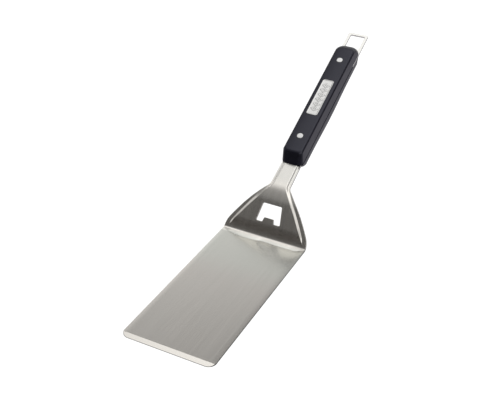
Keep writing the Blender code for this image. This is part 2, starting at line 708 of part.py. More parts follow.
def build_rivet(label, at):
    """A sleeve from above and the pin that enters its bore from below."""
    sleeve_profile = [(radius, GRIP_TOP + rise) for radius, rise in head_dome()] + [
        (RIVET_HEAD_R, GRIP_TOP - RIVET_HEAD_T),
        (SLEEVE_R, GRIP_TOP - RIVET_HEAD_T),
        (SLEEVE_R, SLEEVE_FOOT),
        (SLEEVE_BORE_R, SLEEVE_FOOT),
        (SLEEVE_BORE_R, BORE_TOP),
        (0, BORE_TOP),
    ]
    pin_profile = [
        (0, PIN_TOP),
        (PIN_R - PIN_TIP_INSET, PIN_TOP),
        (PIN_R, PIN_TOP - PIN_TIP_LENGTH),
        (PIN_R, -GRIP_BOTTOM + RIVET_HEAD_T),
        (RIVET_HEAD_R, -GRIP_BOTTOM + RIVET_HEAD_T),
    ] + [(radius, -GRIP_BOTTOM - rise) for radius, rise in reversed(head_dome())]
    for part, profile in (("sleeve", sleeve_profile), ("pin", pin_profile)):
        piece = turned(f"{label}_rivet_{part}", profile)
        piece.location = (0, at, 0)
        paint(piece, f"{piece.name}_steel", **RIVET_STEEL)


# ---- assembly --------------------------------------------------------------------------------------
def build_datum():
    """The grip's frame: front of the grip, on the tang's top face."""
    y, z, _ = side_line(GRIP_START)
    datum = bpy.data.objects.new("grip_datum", None)
    datum.location = (0, y, z)
    datum.rotation_euler = (math.radians(STEM_ANGLE), 0, 0)
    bpy.context.scene.collection.objects.link(datum)
    return datum


for old in list(bpy.data.objects):
    bpy.data.objects.remove(old, do_unlink=True)

grip_datum = build_datum()
blank = build_blank()
upper_scale, lower_scale = build_scales()
cut_pockets(upper_scale, lower_scale)
cut_plate_recess(upper_scale)
for rivet_label, rivet_at in RIVET_AT.items():
    cut_rivet_holes(upper_scale, lower_scale, rivet_label, rivet_at)
    build_rivet(rivet_label, rivet_at)
build_plate()
build_pad()

# everything but the blank hangs on the datum
for piece in list(bpy.context.scene.collection.objects):
    if piece not in (grip_datum, blank):
        piece.parent = grip_datum
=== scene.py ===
"""Looks for a grill turner: a pressed steel blank, two resin grip scales, two rivets and a plate.

Everything is in metres. The middle of the underside of the blade is the origin, +Y runs from the
blade to the grip, X runs across the blade and +Z is up. The blank is drawn as a flat sheet, x across
and "along" from the front edge of the blade (-Y), and then carried onto the bent side line. The grip
parts are drawn in the grip's own frame, which starts at the front end of the grip.
"""

import math

import bmesh
import bpy
import numpy as np
from mathutils import Matrix, Vector
from mathutils.geometry import delaunay_2d_cdt


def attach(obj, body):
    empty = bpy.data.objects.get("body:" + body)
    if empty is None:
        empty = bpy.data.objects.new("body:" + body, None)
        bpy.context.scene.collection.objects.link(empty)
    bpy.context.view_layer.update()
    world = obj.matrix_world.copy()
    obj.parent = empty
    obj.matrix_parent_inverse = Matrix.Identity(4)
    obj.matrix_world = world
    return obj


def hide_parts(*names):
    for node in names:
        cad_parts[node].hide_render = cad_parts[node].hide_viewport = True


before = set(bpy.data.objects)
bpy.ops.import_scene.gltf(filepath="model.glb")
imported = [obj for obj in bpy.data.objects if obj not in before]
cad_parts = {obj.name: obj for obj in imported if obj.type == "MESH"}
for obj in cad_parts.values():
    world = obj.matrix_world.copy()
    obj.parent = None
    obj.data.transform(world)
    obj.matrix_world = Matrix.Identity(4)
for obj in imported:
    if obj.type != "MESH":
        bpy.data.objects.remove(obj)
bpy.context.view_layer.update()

MM = 0.001

# ==================================================================================================
# dimensions: "AT" is a distance along, "HALF" half a width, "R" a radius and "T" a thickness
# ==================================================================================================
# blade
SHEET = 2.0 * MM
BLADE_WIDTH, BLADE_LENGTH, BLADE_CORNER_R = 100.0 * MM, 211.6 * MM, 8.5 * MM
HALF = BLADE_WIDTH / 2
BEVEL_WIDTH, EDGE_THICKNESS = 5.3 * MM, 0.5 * MM
BEVEL_EASE = 0.3 * MM  # the bevel's crease is eased over this much to each side
EDGE_R = 0.35 * MM  # rounding of every edge of the sheet
ROLL_WIDTH, ROLL_DROP = 6.0 * MM, 0.30 * MM  # the long edges of the blade ease down over this width

# neck: angles in degrees, places from the corner of the bend
NECK_ANGLE, HEEL_R, NECK_CORNER, CREST_R = 56.5, 3.0 * MM, 51.7 * MM, 40.0 * MM
SHOULDER_AT, SHOULDER_R = 7.4 * MM, 28.0 * MM
FLARE_AT, FLARE_HALF, FLARE_R = 32.3 * MM, 35.0 * MM, 180.0 * MM
THROAT_AT, THROAT_HALF, THROAT_R = 60.9 * MM, 12.1 * MM, 9.0 * MM

# raised panel of the neck
PANEL_RISE, FLANK_HALF = 1.5 * MM, 1.5 * MM
THROAT_FLANK_HALF = 1.9 * MM  # where the flanks are widest
PANEL_START, PANEL_FULL, PANEL_FOOT_HALF = 1.9 * MM, 14.0 * MM, 45.5 * MM
PANEL_SHOULDER_AT, PANEL_SHOULDER_HALF, PANEL_SHOULDER_R = 10.2 * MM, 42.2 * MM, 24.0 * MM
PANEL_FLARE_AT, PANEL_FLARE_HALF, PANEL_FLARE_R = 34.3 * MM, 27.2 * MM, 150.0 * MM
PANEL_THROAT_AT, PANEL_THROAT_HALF, PANEL_THROAT_R = 60.2 * MM, 8.8 * MM, 9.0 * MM
PANEL_STEM_HALF = 8.0 * MM
PANEL_END = 9.0 * MM  # on the tang

# opener: a hole in the neck with a tooth at its foot
OPENER_TOP_AT, OPENER_TOP_HALF = 37.7 * MM, 11.3 * MM
OPENER_FOOT_AT, OPENER_FOOT_HALF = 16.9 * MM, 14.5 * MM
OPENER_TOOTH_AT, OPENER_TOOTH_HALF, OPENER_TOOTH_ROOT_HALF = 22.2 * MM, 5.7 * MM, 7.0 * MM
OPENER_R = 1.3 * MM

# stem and tang: places on the tang are from the front end of the grip
STEM_ANGLE, STEM_LENGTH, STEM_HALF, STEM_FROM_CORNER = 24.9, 32.6 * MM, 11.4 * MM, 10.1 * MM
TANG_TAPER_START, TANG_TAPER_END = 3.2 * MM, 7.0 * MM
TANG_HALF, LOOP_HALF, LOOP_BAR = 9.5 * MM, 12.7 * MM, 3.5 * MM
LOOP_END, LOOP_WINDOW_START, LOOP_CORNER_R = 213.9 * MM, 188.4 * MM, 2.4 * MM
TANG_FLARE_START, TANG_FLARE_END = 158.0 * MM, 161.2 * MM

# grip
PARTING = -SHEET / 2
GRIP_LENGTH, GRIP_HALF, GRIP_TOP, GRIP_BOTTOM = 186.2 * MM, 12.8 * MM, 15.7 * MM, 12.9 * MM
GRIP_LIP, GRIP_FRONT_R, GRIP_REAR_R, GRIP_BOW = 2.0 * MM, 6.6 * MM, 8.5 * MM, 0.6 * MM
FRONT_SET_BACK, FRONT_EDGE_R, FRONT_TOP_R = 5.0 * MM, 4.2 * MM, 4.2 * MM
REAR_SET_BACK, REAR_NOSE = 15.0 * MM, 1.6  # the nose is the power of its curve
TOP_DRAFT, TOP_EDGE_R, TOP_EASE = 0.7 * MM, 2.8 * MM, 0.5 * MM
LOW_DRAFT, LOW_EDGE_R, LOW_SET_BACK, LOW_EASE = 0.4 * MM, 4.4 * MM, 5.2 * MM, 0.6 * MM
BELLY_DEPTH, BELLY_WIDTH = 1.8 * MM, 0.4 * MM
BELLY_FROM, BELLY_TO, BELLY_STATIONS = 26.0 * MM, 146.0 * MM, 30
PARTING_ABOVE, PARTING_BELOW, FIT = 1.4 * MM, 0.15 * MM, 0.3 * MM

# rivets
RIVET_AT = (29.4 * MM, 151.9 * MM)
RIVET_HEAD_R, RIVET_HEAD_T, RIVET_CROWN, RIVET_RIM_R = 3.7 * MM, 1.5 * MM, 0.35 * MM, 0.3 * MM
DIMPLE_R, DIMPLE_DEPTH = 1.25 * MM, 0.015 * MM
SLEEVE_R, SLEEVE_BORE_R, PIN_R = 2.5 * MM, 1.7 * MM, 1.45 * MM
SLEEVE_LOW, PIN_TOP = -8.5 * MM, 5.5 * MM

# plate
PLATE_FROM, PLATE_TO, PLATE_HALF, PLATE_CORNER_R = 62.5 * MM, 117.9 * MM, 6.9 * MM, 2.6 * MM
PLATE_T, PLATE_RIM, PLATE_RIM_RISE, PAD_T = 1.0 * MM, 1.0 * MM, 0.2 * MM, 0.4 * MM
PLATE_EDGE_R, PLATE_GRID = 0.30 * MM, 0.22 * MM
MOTIF_PITCH, MOTIF_COUNT, MOTIF_FOOT = 7.4 * MM, 6, 0.5 * MM
MOTIF_REACH_ALONG, MOTIF_REACH_ACROSS = 3.4 * MM, 4.7 * MM
MOTIF_HOLE = 0.40  # share of a lozenge's reach

# derived: lengths along the flat sheet where the heel and crest bends start and end
HEEL_TURN = math.radians(NECK_ANGLE)
CREST_TURN = math.radians(NECK_ANGLE - STEM_ANGLE)
HEEL_TANGENT = HEEL_R * math.tan(HEEL_TURN / 2)
CREST_TANGENT = CREST_R * math.tan(CREST_TURN / 2)
HEEL_START = BLADE_LENGTH - HEEL_TANGENT
HEEL_END = HEEL_START + HEEL_R * HEEL_TURN
CREST_START = HEEL_END + NECK_CORNER - HEEL_TANGENT - CREST_TANGENT
CREST_END = CREST_START + CREST_R * CREST_TURN
GRIP_START = CREST_END + STEM_LENGTH + STEM_FROM_CORNER - CREST_TANGENT


def neck(distance):
    return HEEL_END - HEEL_TANGENT + distance


def tang(distance):
    return GRIP_START + distance


# ==================================================================================================
# paths and loops of flat points
# ==================================================================================================
def rounded_path(corners, pitch=math.radians(6)):
    """Points of an open path of corners (x, along, radius); the first and the last stay sharp."""
    path = [Vector(corners[0][:2])]
    for before, (x, along, radius), after in zip(corners, corners[1:], corners[2:]):
        corner = Vector((x, along))
        back = (Vector(before[:2]) - corner).normalized()
        ahead = (Vector(after[:2]) - corner).normalized()
        turn = math.pi - back.angle(ahead)
        if radius <= 0 or turn < 1e-4:
            path.append(corner)
            continue
        reach = radius * math.tan(turn / 2)
        centre = corner + (back + ahead).normalized() * (radius / math.cos(turn / 2))
        start = corner + back * reach - centre
        side = 1.0 if back.x * ahead.y - back.y * ahead.x < 0 else -1.0
        steps = max(1, math.ceil(turn / pitch))
        for i in range(steps + 1):
            angle = side * turn * i / steps
            cos, sin = math.cos(angle), math.sin(angle)
            spoke = Vector((cos * start.x - sin * start.y, sin * start.x + cos * start.y))
            path.append(centre + spoke)
    path.append(Vector(corners[-1][:2]))
    return path


def divided(path, longest):
    """The path with its long segments split."""
    out = [path[0]]
    for start, end in zip(path, path[1:]):
        count = max(1, math.ceil((end - start).length / longest))
        out += [start.lerp(end, (i + 1) / count) for i in range(count)]
    return out


def mirrored(path):
    return [Vector((-point.x, point.y)) for point in path]


def closed_loop(half):
    """A loop from its +X half, counterclockwise when the half runs towards +Y."""
    return half + mirrored(half)[-2:0:-1]


def circle(x, along, radius, sides):
    angles = [2 * math.pi * i / sides for i in range(sides)]
    return [Vector((x + radius * math.cos(a), along + radius * math.sin(a))) for a in angles]


def inset_loop(loop, distance):
    """A closed loop moved by a distance to the left of its direction."""
    out = []
    for i, point in enumerate(loop):
        arriving = (point - loop[i - 1]).normalized()
        leaving = (loop[(i + 1) % len(loop)] - point).normalized()
        left_before = Vector((-arriving.y, arriving.x))
        left_after = Vector((-leaving.y, leaving.x))
        middle = (left_before + left_after).normalized()
        out.append(point + middle * (distance / max(0.5, middle.dot(left_before))))
    return out


def inside(loop, points):
    """Whether each point lies in a closed loop."""
    start = np.array([[point.x, point.y] for point in loop])
    end = np.roll(start, -1, 0)
    x, y = points[:, 0][:, None], points[:, 1][:, None]
    crosses = (start[:, 1] > y) != (end[:, 1] > y)
    rise = end[:, 1] - start[:, 1]
    with np.errstate(divide="ignore", invalid="ignore"):
        crossing = start[:, 0] + (y - start[:, 1]) * (end[:, 0] - start[:, 0]) / rise
    return (crosses & (x < crossing)).sum(1) % 2 == 1


# ==================================================================================================
# triangulated faces and their borders, used by the blank and the plate
# ==================================================================================================
def add_chain(points, edges, chain, closed):
    first, count = len(points), len(chain)
    points.extend(chain)
    edges.extend((first + i, first + (i + 1) % count) for i in range(count if closed else count - 1))


def triangulate(points, edges, tolerance, rim, holes=()):
    """Flat points and triangles inside the rim and outside the holes. The tolerance is in mm."""
    per_metre = 1000.0
    scaled = [point * per_metre for point in points]
    verts, _, faces, *_ = delaunay_2d_cdt(scaled, edges, [], 0, tolerance)
    flat = np.array([[vert.x, vert.y] for vert in verts]) / per_metre
    triangles = np.array(faces)
    middles = flat[triangles].mean(1)
    keep = inside(rim, middles)
    for hole in holes:
        keep &= ~inside(hole, middles)
    used, index = np.unique(triangles[keep], return_inverse=True)
    return flat[used], index.reshape(-1, 3)


def unit_rows(vectors):
    return vectors / np.linalg.norm(vectors, axis=1)[:, None]


def find_border(flat, triangles):
    """Border vertices, the vertex after each, their points and their outward directions."""
    ends = np.concatenate([triangles[:, [0, 1]], triangles[:, [1, 2]], triangles[:, [2, 0]]])
    pairs = {(start, end) for start, end in ends.tolist()}
    after = {start: end for start, end in pairs if (end, start) not in pairs}
    before = {end: start for start, end in after.items()}
    border = sorted(after)
    points = flat[border]
    leaving = unit_rows(flat[[after[b] for b in border]] - points)
    arriving = unit_rows(points - flat[[before[b] for b in border]])
    both = leaving + arriving
    return border, after, points, unit_rows(np.stack([both[:, 1], -both[:, 0]], 1))


def wall_faces(levels, border, after):
    """Quads between levels of vertices, each level in the order of the border."""
    slot_of = {vertex: i for i, vertex in enumerate(border)}
    quads = []
    for upper, lower in zip(levels, levels[1:]):
        for i, vertex in enumerate(border):
            j = slot_of[after[vertex]]
            quads.append((int(upper[j]), int(upper[i]), int(lower[i]), int(lower[j])))
    return quads


def new_object(name, mesh):
    obj = bpy.data.objects.new(name, mesh)
    bpy.context.scene.collection.objects.link(obj)
    return obj


# ==================================================================================================
# the pressed blank: a flat sheet with height, carried onto the bent side line
# ==================================================================================================
def smooth(share):
    share = np.clip(share, 0, 1)
    return share * share * (3 - 2 * share)


def smoother(share):
    share = np.clip(share, 0, 1)
    return share**3 * (6 * share * share - 15 * share + 10)


def side_line(along):
    """(y, z, angle) of the sheet's top line at lengths along it."""
    along = np.asarray(along, float)
    y = np.full(along.shape, -BLADE_LENGTH / 2)
    z = np.full(along.shape, SHEET)
    angle = np.zeros(along.shape)
    start = 0.0
    pieces = (  # length, curvature
        (HEEL_START, 0.0),
        (HEEL_END - HEEL_START, 1 / HEEL_R),
        (CREST_START - HEEL_END, 0.0),
        (CREST_END - CREST_START, -1 / CREST_R),
        (10.0, 0.0),  # longer than the rest of the sheet
    )
    for i, (length, curvature) in enumerate(pieces):
        step = np.minimum(along - start, length)
        if i > 0:
            step = np.maximum(step, 0)
        if curvature:
            turned_to = angle + curvature * step
            y = y + (np.sin(turned_to) - np.sin(angle)) / curvature
            z = z + (np.cos(angle) - np.cos(turned_to)) / curvature
            angle = turned_to
        else:
            y = y + step * np.cos(angle)
            z = z + step * np.sin(angle)
        start += length
    return y, z, angle


def on_sheet(x, along, height):
    y, z, angle = side_line(along)
    across = np.asarray(x, float) + 0 * y
    return np.stack([across, y - height * np.sin(angle), z + height * np.cos(angle)], -1)


# +X halves of the outlines, as corners (x, along, radius)
outer_half = rounded_path(
    [
        (0.0, 0.0, 0),
        (HALF, 0.0, BLADE_CORNER_R),
        (HALF, neck(SHOULDER_AT), SHOULDER_R),
        (FLARE_HALF, neck(FLARE_AT), FLARE_R),
        (THROAT_HALF, neck(THROAT_AT), THROAT_R),
        (STEM_HALF, tang(TANG_TAPER_START), 0),
        (TANG_HALF, tang(TANG_TAPER_END), 0),
        (TANG_HALF, tang(TANG_FLARE_START), 0),
        (LOOP_HALF, tang(TANG_FLARE_END), 0),
        (LOOP_HALF, tang(LOOP_END), LOOP_CORNER_R),
        (0.0, tang(LOOP_END), 0),
    ],
    math.radians(4),
)
panel_half = rounded_path(
    [
        (PANEL_FOOT_HALF, neck(PANEL_START), 0),
        (PANEL_SHOULDER_HALF, neck(PANEL_SHOULDER_AT), PANEL_SHOULDER_R),
        (PANEL_FLARE_HALF, neck(PANEL_FLARE_AT), PANEL_FLARE_R),
        (PANEL_THROAT_HALF, neck(PANEL_THROAT_AT), PANEL_THROAT_R),
        (PANEL_STEM_HALF, tang(TANG_TAPER_END), 0),
    ],
    math.radians(3),
)
opener_half = rounded_path(
    [
        (0.0, neck(OPENER_TOOTH_AT), 0),
        (OPENER_TOOTH_HALF, neck(OPENER_TOOTH_AT), 1.3 * MM),
        (OPENER_TOOTH_ROOT_HALF, neck(OPENER_FOOT_AT), 0.9 * MM),
        (OPENER_FOOT_HALF, neck(OPENER_FOOT_AT), OPENER_R),
        (OPENER_TOP_HALF, neck(OPENER_TOP_AT), OPENER_R + 0.2 * MM),
        (0.0, neck(OPENER_TOP_AT), 0),
    ],
    math.radians(12),
)
window_half = rounded_path(
    [
        (0.0, tang(LOOP_WINDOW_START), 0),
        (LOOP_HALF - LOOP_BAR, tang(LOOP_WINDOW_START), 1.6 * MM),
        (LOOP_HALF - LOOP_BAR, tang(LOOP_END) - LOOP_BAR, 1.0 * MM),
        (0.0, tang(LOOP_END) - LOOP_BAR, 0),
    ],
    math.radians(12),
)
PANEL_LINE = np.array([[point.x, point.y] for point in panel_half])


def panel_side(x, along):
    """Distance outside (+) or inside (-) the panel's edge line, measured in the flat sheet."""
    points = np.stack([np.abs(x), along], -1)[..., None, :]
    start = PANEL_LINE[:-1]
    span = PANEL_LINE[1:] - start
    share = ((points - start) * span).sum(-1) / (span * span).sum(-1)
    # the end segments are carried on, so that the distance stays smooth past the ends
    lowest, highest = np.zeros(len(start)), np.ones(len(start))
    lowest[0], highest[-1] = -1e9, 1e9
    share = np.clip(share, lowest, highest)
    off = points - (start + share[..., None] * span)
    distance = np.sqrt((off**2).sum(-1))
    nearest = distance.argmin(-1)[..., None]
    cross = span[:, 0] * off[..., 1] - span[:, 1] * off[..., 0]
    sign = -np.sign(np.take_along_axis(cross, nearest, -1)[..., 0])
    return sign * np.take_along_axis(distance, nearest, -1)[..., 0]


def panel_share(x, along):
    """Share of the panel's full rise."""
    up = smoother((along - neck(PANEL_START)) / (PANEL_FULL + 2.0 * MM - PANEL_START))
    down = smooth((tang(PANEL_END) - along) / (8.0 * MM))
    # the flanks are narrower towards the blade, and widest before the throat
    flank = FLANK_HALF * (0.45 + 0.55 * smooth((along - neck(4.0 * MM)) / (21.0 * MM)))
    widen = smooth((along - neck(26.0 * MM)) / (16.0 * MM))
    narrow = 1 - smooth((along - neck(52.0 * MM)) / (10.0 * MM))
    flank = flank + (THROAT_FLANK_HALF - FLANK_HALF) * widen * narrow
    side = smooth((flank - panel_side(x, along)) / (2 * flank))
    return np.minimum(up, down) * side


def top_height(x, along):
    height = PANEL_RISE * panel_share(x, along)
    # bevel of the front edge
    depth, ease = BEVEL_WIDTH - along, BEVEL_EASE
    creased = np.where(depth < -ease, 0, (depth + ease) ** 2 / (4 * ease))
    eased = np.where(depth > ease, depth, creased)
    height = height - (SHEET - EDGE_THICKNESS) * eased / BEVEL_WIDTH
    # long edges of the blade; the drop fades out towards the heel and the front edge
    fade_length = 9 * MM
    edge = np.clip((np.abs(x) - (HALF - ROLL_WIDTH)) / ROLL_WIDTH, 0, 1.2)
    rear = 1 - smooth((along - (HEEL_START - fade_length)) / fade_length)
    front = smooth((along - 1.0 * MM) / fade_length)
    return height - ROLL_DROP * edge * edge * rear * front


def low_height(x, along):
    return -SHEET + PANEL_RISE * panel_share(x, along)


def surface_normals(x, along, height, up):
    step = 0.02 * MM
    right, left = x + step, x - step
    far, near = along + step, along - step
    across = on_sheet(right, along, height(right, along)) - on_sheet(left, along, height(left, along))
    lengthwise = on_sheet(x, far, height(x, far)) - on_sheet(x, near, height(x, near))
    normals = np.cross(across, lengthwise) * up
    return normals / np.linalg.norm(normals, axis=-1, keepdims=True)


def flank_line(offset):
    """The panel's edge line moved sideways."""
    points = []
    for i, point in enumerate(panel_half):
        ahead = panel_half[min(i + 1, len(panel_half) - 1)]
        tangent = (ahead - panel_half[max(i - 1, 0)]).normalized()
        points.append(point + Vector((tangent.y, -tangent.x)) * offset)
    return points


def stepped(start, end, steps, indices):
    return [start + (end - start) * i / steps for i in indices]


def mesh_rows():
    """Lengths along the sheet where its mesh has a row of edges across."""
    rows = [BEVEL_WIDTH + offset * MM for offset in (-0.3, -0.1, 0.1, 0.3)]
    rows += [row * MM for row in (10, 40, 80, 120, 160, 190, 200, 205)]
    rows += stepped(HEEL_START, HEEL_END, 16, range(17))
    rows += stepped(neck(PANEL_START), neck(PANEL_FULL), 15, range(1, 16))
    rows += stepped(neck(PANEL_FULL), CREST_START, 12, range(1, 12))
    rows += stepped(CREST_START, CREST_END, 32, range(33))
    rows += stepped(CREST_END, tang(PANEL_END), 12, range(1, 12))
    return rows


def flat_blank():
    """The triangulated flat sheet, inset by the rounding of its edges."""
    outline = closed_loop(divided(outer_half, 6 * MM))
    holes = [
        closed_loop(divided(opener_half, 4 * MM)),
        closed_loop(divided(window_half, 4 * MM)),
    ]
    holes += [circle(0, tang(at), SLEEVE_R + FIT, 48) for at in RIVET_AT]
    rim = inset_loop(outline, EDGE_R)
    hole_rims = [inset_loop(hole[::-1], EDGE_R) for hole in holes]

    points, edges = [], []
    for loop in [rim] + hole_rims:
        add_chain(points, edges, loop, True)
    row_half = HALF + 3 * MM
    for row in mesh_rows():
        add_chain(points, edges, [Vector((-row_half, row)), Vector((row_half, row))], False)
    for share in np.linspace(0, 1, 9):
        # the last line stays inside the rim
        x = HALF - ROLL_WIDTH * (1 - share) - (0.4 * MM if share == 1 else 0)
        for side in (-1, 1):
            line = [Vector((side * x, -1 * MM)), Vector((side * x, HEEL_START))]
            add_chain(points, edges, line, False)
    for share in np.linspace(-1, 1, 13):
        line = flank_line(THROAT_FLANK_HALF * share)
        add_chain(points, edges, line, False)
        add_chain(points, edges, mirrored(line), False)
    return triangulate(points, edges, 2e-4, rim, hole_rims)


UV_SCALE = 10  # UV units to the metre: u across the sheet, v along it


def build_blank():
    flat, triangles = flat_blank()
    count = len(flat)
    border, after, rim, outward = find_border(flat, triangles)

    x, along = flat[:, 0], flat[:, 1]
    coords = [on_sheet(x, along, top_height(x, along)), on_sheet(x, along, low_height(x, along))]
    normals = [
        surface_normals(x, along, top_height, 1),
        surface_normals(x, along, low_height, -1),
    ]
    uvs = [flat, flat]

    # rings of the rounded edge, from the top face down to the low one
    rim_x, rim_along = rim[:, 0], rim[:, 1]
    top, low = top_height(rim_x, rim_along), low_height(rim_x, rim_along)
    radius = np.minimum(EDGE_R, 0.42 * (top - low))
    top_normals = surface_normals(rim_x, rim_along, top_height, 1)
    low_normals = surface_normals(rim_x, rim_along, low_height, -1)
    step = 0.05 * MM
    moved = rim + outward * step
    middle = (top + low) / 2
    sideways = unit_rows(
        on_sheet(moved[:, 0], moved[:, 1], middle) - on_sheet(rim_x, rim_along, middle)
    )
    angles = [math.radians(degrees) for degrees in (30, 60, 90)]
    starts = []
    for sign, height, face_normals, seam, order in (
        (1, top, top_normals, 0, angles),
        (-1, low, low_normals, 2 * MM, angles[::-1]),
    ):
        for angle in order:
            starts.append(sum(len(part) for part in coords))
            reach = EDGE_R - radius + radius * math.sin(angle)
            ring = rim + outward * reach[:, None]
            drop = sign * radius * (1 - math.cos(angle))
            coords.append(on_sheet(ring[:, 0], ring[:, 1], height - drop))
            normals.append(unit_rows(face_normals * math.cos(angle) + sideways * math.sin(angle)))
            uvs.append(rim + outward * (EDGE_R - radius + radius * angle + seam)[:, None])

    faces = [tuple(face) for face in triangles.tolist()]
    faces += [(c + count, b + count, a + count) for a, b, c in triangles.tolist()]
    levels = [np.array(border)]
    levels += [np.arange(len(border)) + start for start in starts]
    levels += [np.array(border) + count]
    faces += wall_faces(levels, border, after)

    mesh = bpy.data.meshes.new("turner_blank_fine")
    mesh.from_pydata(np.concatenate(coords).tolist(), [], faces)
    layer = mesh.uv_layers.new(name="sheet")
    loops = np.zeros(len(mesh.loops), np.int32)
    mesh.loops.foreach_get("vertex_index", loops)
    loop_uvs = np.concatenate(uvs)[loops] * UV_SCALE
    layer.data.foreach_set("uv", loop_uvs.astype(np.float32).ravel())
    mesh.shade_smooth()
    custom = [tuple(normal) for normal in np.concatenate(normals).tolist()]
    mesh.normals_split_custom_set_from_vertices(custom)
    mesh.validate(clean_customdata=False)
    return new_object("blank_fine", mesh)


# ==================================================================================================
# mesh tools of the grip parts
# ==================================================================================================
def plan(front, rear, half, front_r, rear_r, bow=0.0, stations=0):
    """A rounded oblong loop; the bow pushes its front end out, stations split its long sides."""
    right = rounded_path(
        [
            (0.0, front, 0),
            ((half - front_r) * 0.5, front, 0),
            (half, front, front_r),
            (half, rear, rear_r),
            (0.0, rear, 0),
        ]
    )
    for point in right:
        if point.y < front + front_r:
            point.y -= bow * (1 - (point.x / half) ** 2) * (1 - (point.y - front) / front_r)
    if stations:
        i = max(range(len(right) - 1), key=lambda k: right[k + 1].y - right[k].y)
        start, end = right[i], right[i + 1]
        added = [start.lerp(end, (k + 1) / (stations + 1)) for k in range(stations)]
        right[i + 1 : i + 1] = added
    return closed_loop(right)


def swollen(x, along, height):
    """A point of the lower scale moved by its belly."""
    share = min(1.0, max(0.0, (along - BELLY_FROM) / (BELLY_TO - BELLY_FROM)))
    depth = min(1.0, max(0.0, (PARTING - height) / (GRIP_BOTTOM + PARTING)))
    swell = math.sin(math.pi * share) ** 2 * depth
    return (x * (1 + BELLY_WIDTH / GRIP_HALF * swell), along, height - BELLY_DEPTH * swell)


def mesh_object(name, bm):
    bmesh.ops.recalc_face_normals(bm, faces=bm.faces)
    mesh = bpy.data.meshes.new(name)
    bm.to_mesh(mesh)
    bm.free()
    return new_object(name, mesh)


def loft(name, levels, belly=False):
    """A closed skin over levels (height, loop), lowest first."""
    bm = bmesh.new()
    rings = []
    for height, loop in levels:
        places = [(point.x, point.y, height) for point in loop]
        if belly:
            places = [swollen(*place) for place in places]
        rings.append([bm.verts.new(place) for place in places])
    count = len(rings[0])
    for lower, upper in zip(rings, rings[1:]):
        for i in range(count):
            j = (i + 1) % count
            bm.faces.new((lower[i], lower[j], upper[j], upper[i]))
    bm.faces.new(rings[-1])
    if belly:
        # the underside is curved, so it is closed by strips across
        half = count // 2
        strips = [(0, 1, 2, count - 2, count - 1)]
        strips += [(i, i + 1, count - i - 1, count - i) for i in range(2, half - 2)]
        strips += [(half - 2, half - 1, half, half + 1, half + 2)]
        for strip in strips:
            bm.faces.new([rings[0][k] for k in strip])
    else:
        bm.faces.new(list(reversed(rings[0])))
    return mesh_object(name, bm)


def prism(name, loop, low, high):
    return loft(name, [(low, loop), (high, loop)])


def apply_modifiers(obj):
    bpy.context.view_layer.update()
    graph = bpy.context.evaluated_depsgraph_get()
    mesh = bpy.data.meshes.new_from_object(obj.evaluated_get(graph))
    obj.modifiers.clear()
    obj.data = mesh


def carve(obj, cutters):
    for cutter in cutters:
        modifier = obj.modifiers.new("carve", "BOOLEAN")
        modifier.operation = "DIFFERENCE"
        modifier.solver = "EXACT"
        modifier.object = cutter
    apply_modifiers(obj)


def finish_smooth(obj, angle):
    """Smooth shading with flat faces kept flat; edges over the angle, in degrees, are sharp."""
    obj.data.shade_smooth()
    obj.data.set_sharp_from_angle(angle=math.radians(angle))
    modifier = obj.modifiers.new("weighted", "WEIGHTED_NORMAL")
    modifier.mode = "FACE_AREA"
    modifier.weight = 50
    modifier.keep_sharp = True
    apply_modifiers(obj)


def turned(name, profile, at, sides=72):
    """A profile (radius, height) turned round the upright axis at a place along the grip."""
    bm = bmesh.new()
    rings = []
    for radius, z in profile:
        if radius == 0:
            rings.append([bm.verts.new((0, at, z))])
        else:
            ring = circle(0, at, radius, sides)
            rings.append([bm.verts.new((point.x, point.y, z)) for point in ring])
    for first, second in zip(rings, rings[1:]):
        for i in range(sides):
            j = (i + 1) % sides
            if len(first) == 1:
                bm.faces.new((first[0], second[i], second[j]))
            elif len(second) == 1:
                bm.faces.new((first[i], second[0], first[j]))
            else:
                bm.faces.new((first[i], second[i], second[j], first[j]))
    obj = mesh_object(name, bm)
    finish_smooth(obj, 40)
    return obj


# ==================================================================================================
# grip scales
# ==================================================================================================
def edge_tuck(depth, ease):
    """How far the wall is drawn in at a depth from the parting edge, which has a small round."""
    return ease * (1 - math.sqrt(max(0.0, 1 - max(0.0, 1 - depth / ease) ** 2)))


def nose(share):
    return 1 - max(0.0, 1 - share**REAR_NOSE) ** (1 / REAR_NOSE)


def upper_levels():
    low = PARTING + PARTING_ABOVE
    spring = GRIP_TOP - TOP_EDGE_R  # where the top rounding starts
    heights = [low, low + 0.06 * MM, low + 0.16 * MM, low + 0.3 * MM, low + TOP_EASE]
    wall_shares = (0.1, 0.2, 0.3, 0.4, 0.5, 0.6, 0.7, 0.78, 0.85, 0.91, 0.96, 1)
    heights += [low + (spring - low) * share for share in wall_shares]
    heights += [spring + TOP_EDGE_R * math.sin(math.radians(a)) for a in range(9, 91, 9)]
    levels = []
    for height in heights:
        wall = min(1.0, (height - low) / (spring - low))
        up = max(0.0, (height - spring) / TOP_EDGE_R)
        out = 1 - math.sqrt(max(0.0, 1 - up * up))
        tuck = edge_tuck(height - low, TOP_EASE)
        rear_set_back = REAR_SET_BACK * nose(max(0.0, height) / GRIP_TOP)
        front_r = GRIP_FRONT_R + (FRONT_TOP_R - GRIP_FRONT_R) * wall
        loop = plan(
            front=-GRIP_LIP + (GRIP_LIP + FRONT_SET_BACK) * wall + FRONT_EDGE_R * out + tuck,
            rear=GRIP_LENGTH - rear_set_back - tuck,
            half=GRIP_HALF - TOP_DRAFT * wall - TOP_EDGE_R * out - tuck,
            front_r=front_r - 0.55 * TOP_EDGE_R * out,
            rear_r=GRIP_REAR_R - 0.4 * TOP_EDGE_R * out,
            bow=GRIP_BOW,
        )
        levels.append((height, loop))
    return levels


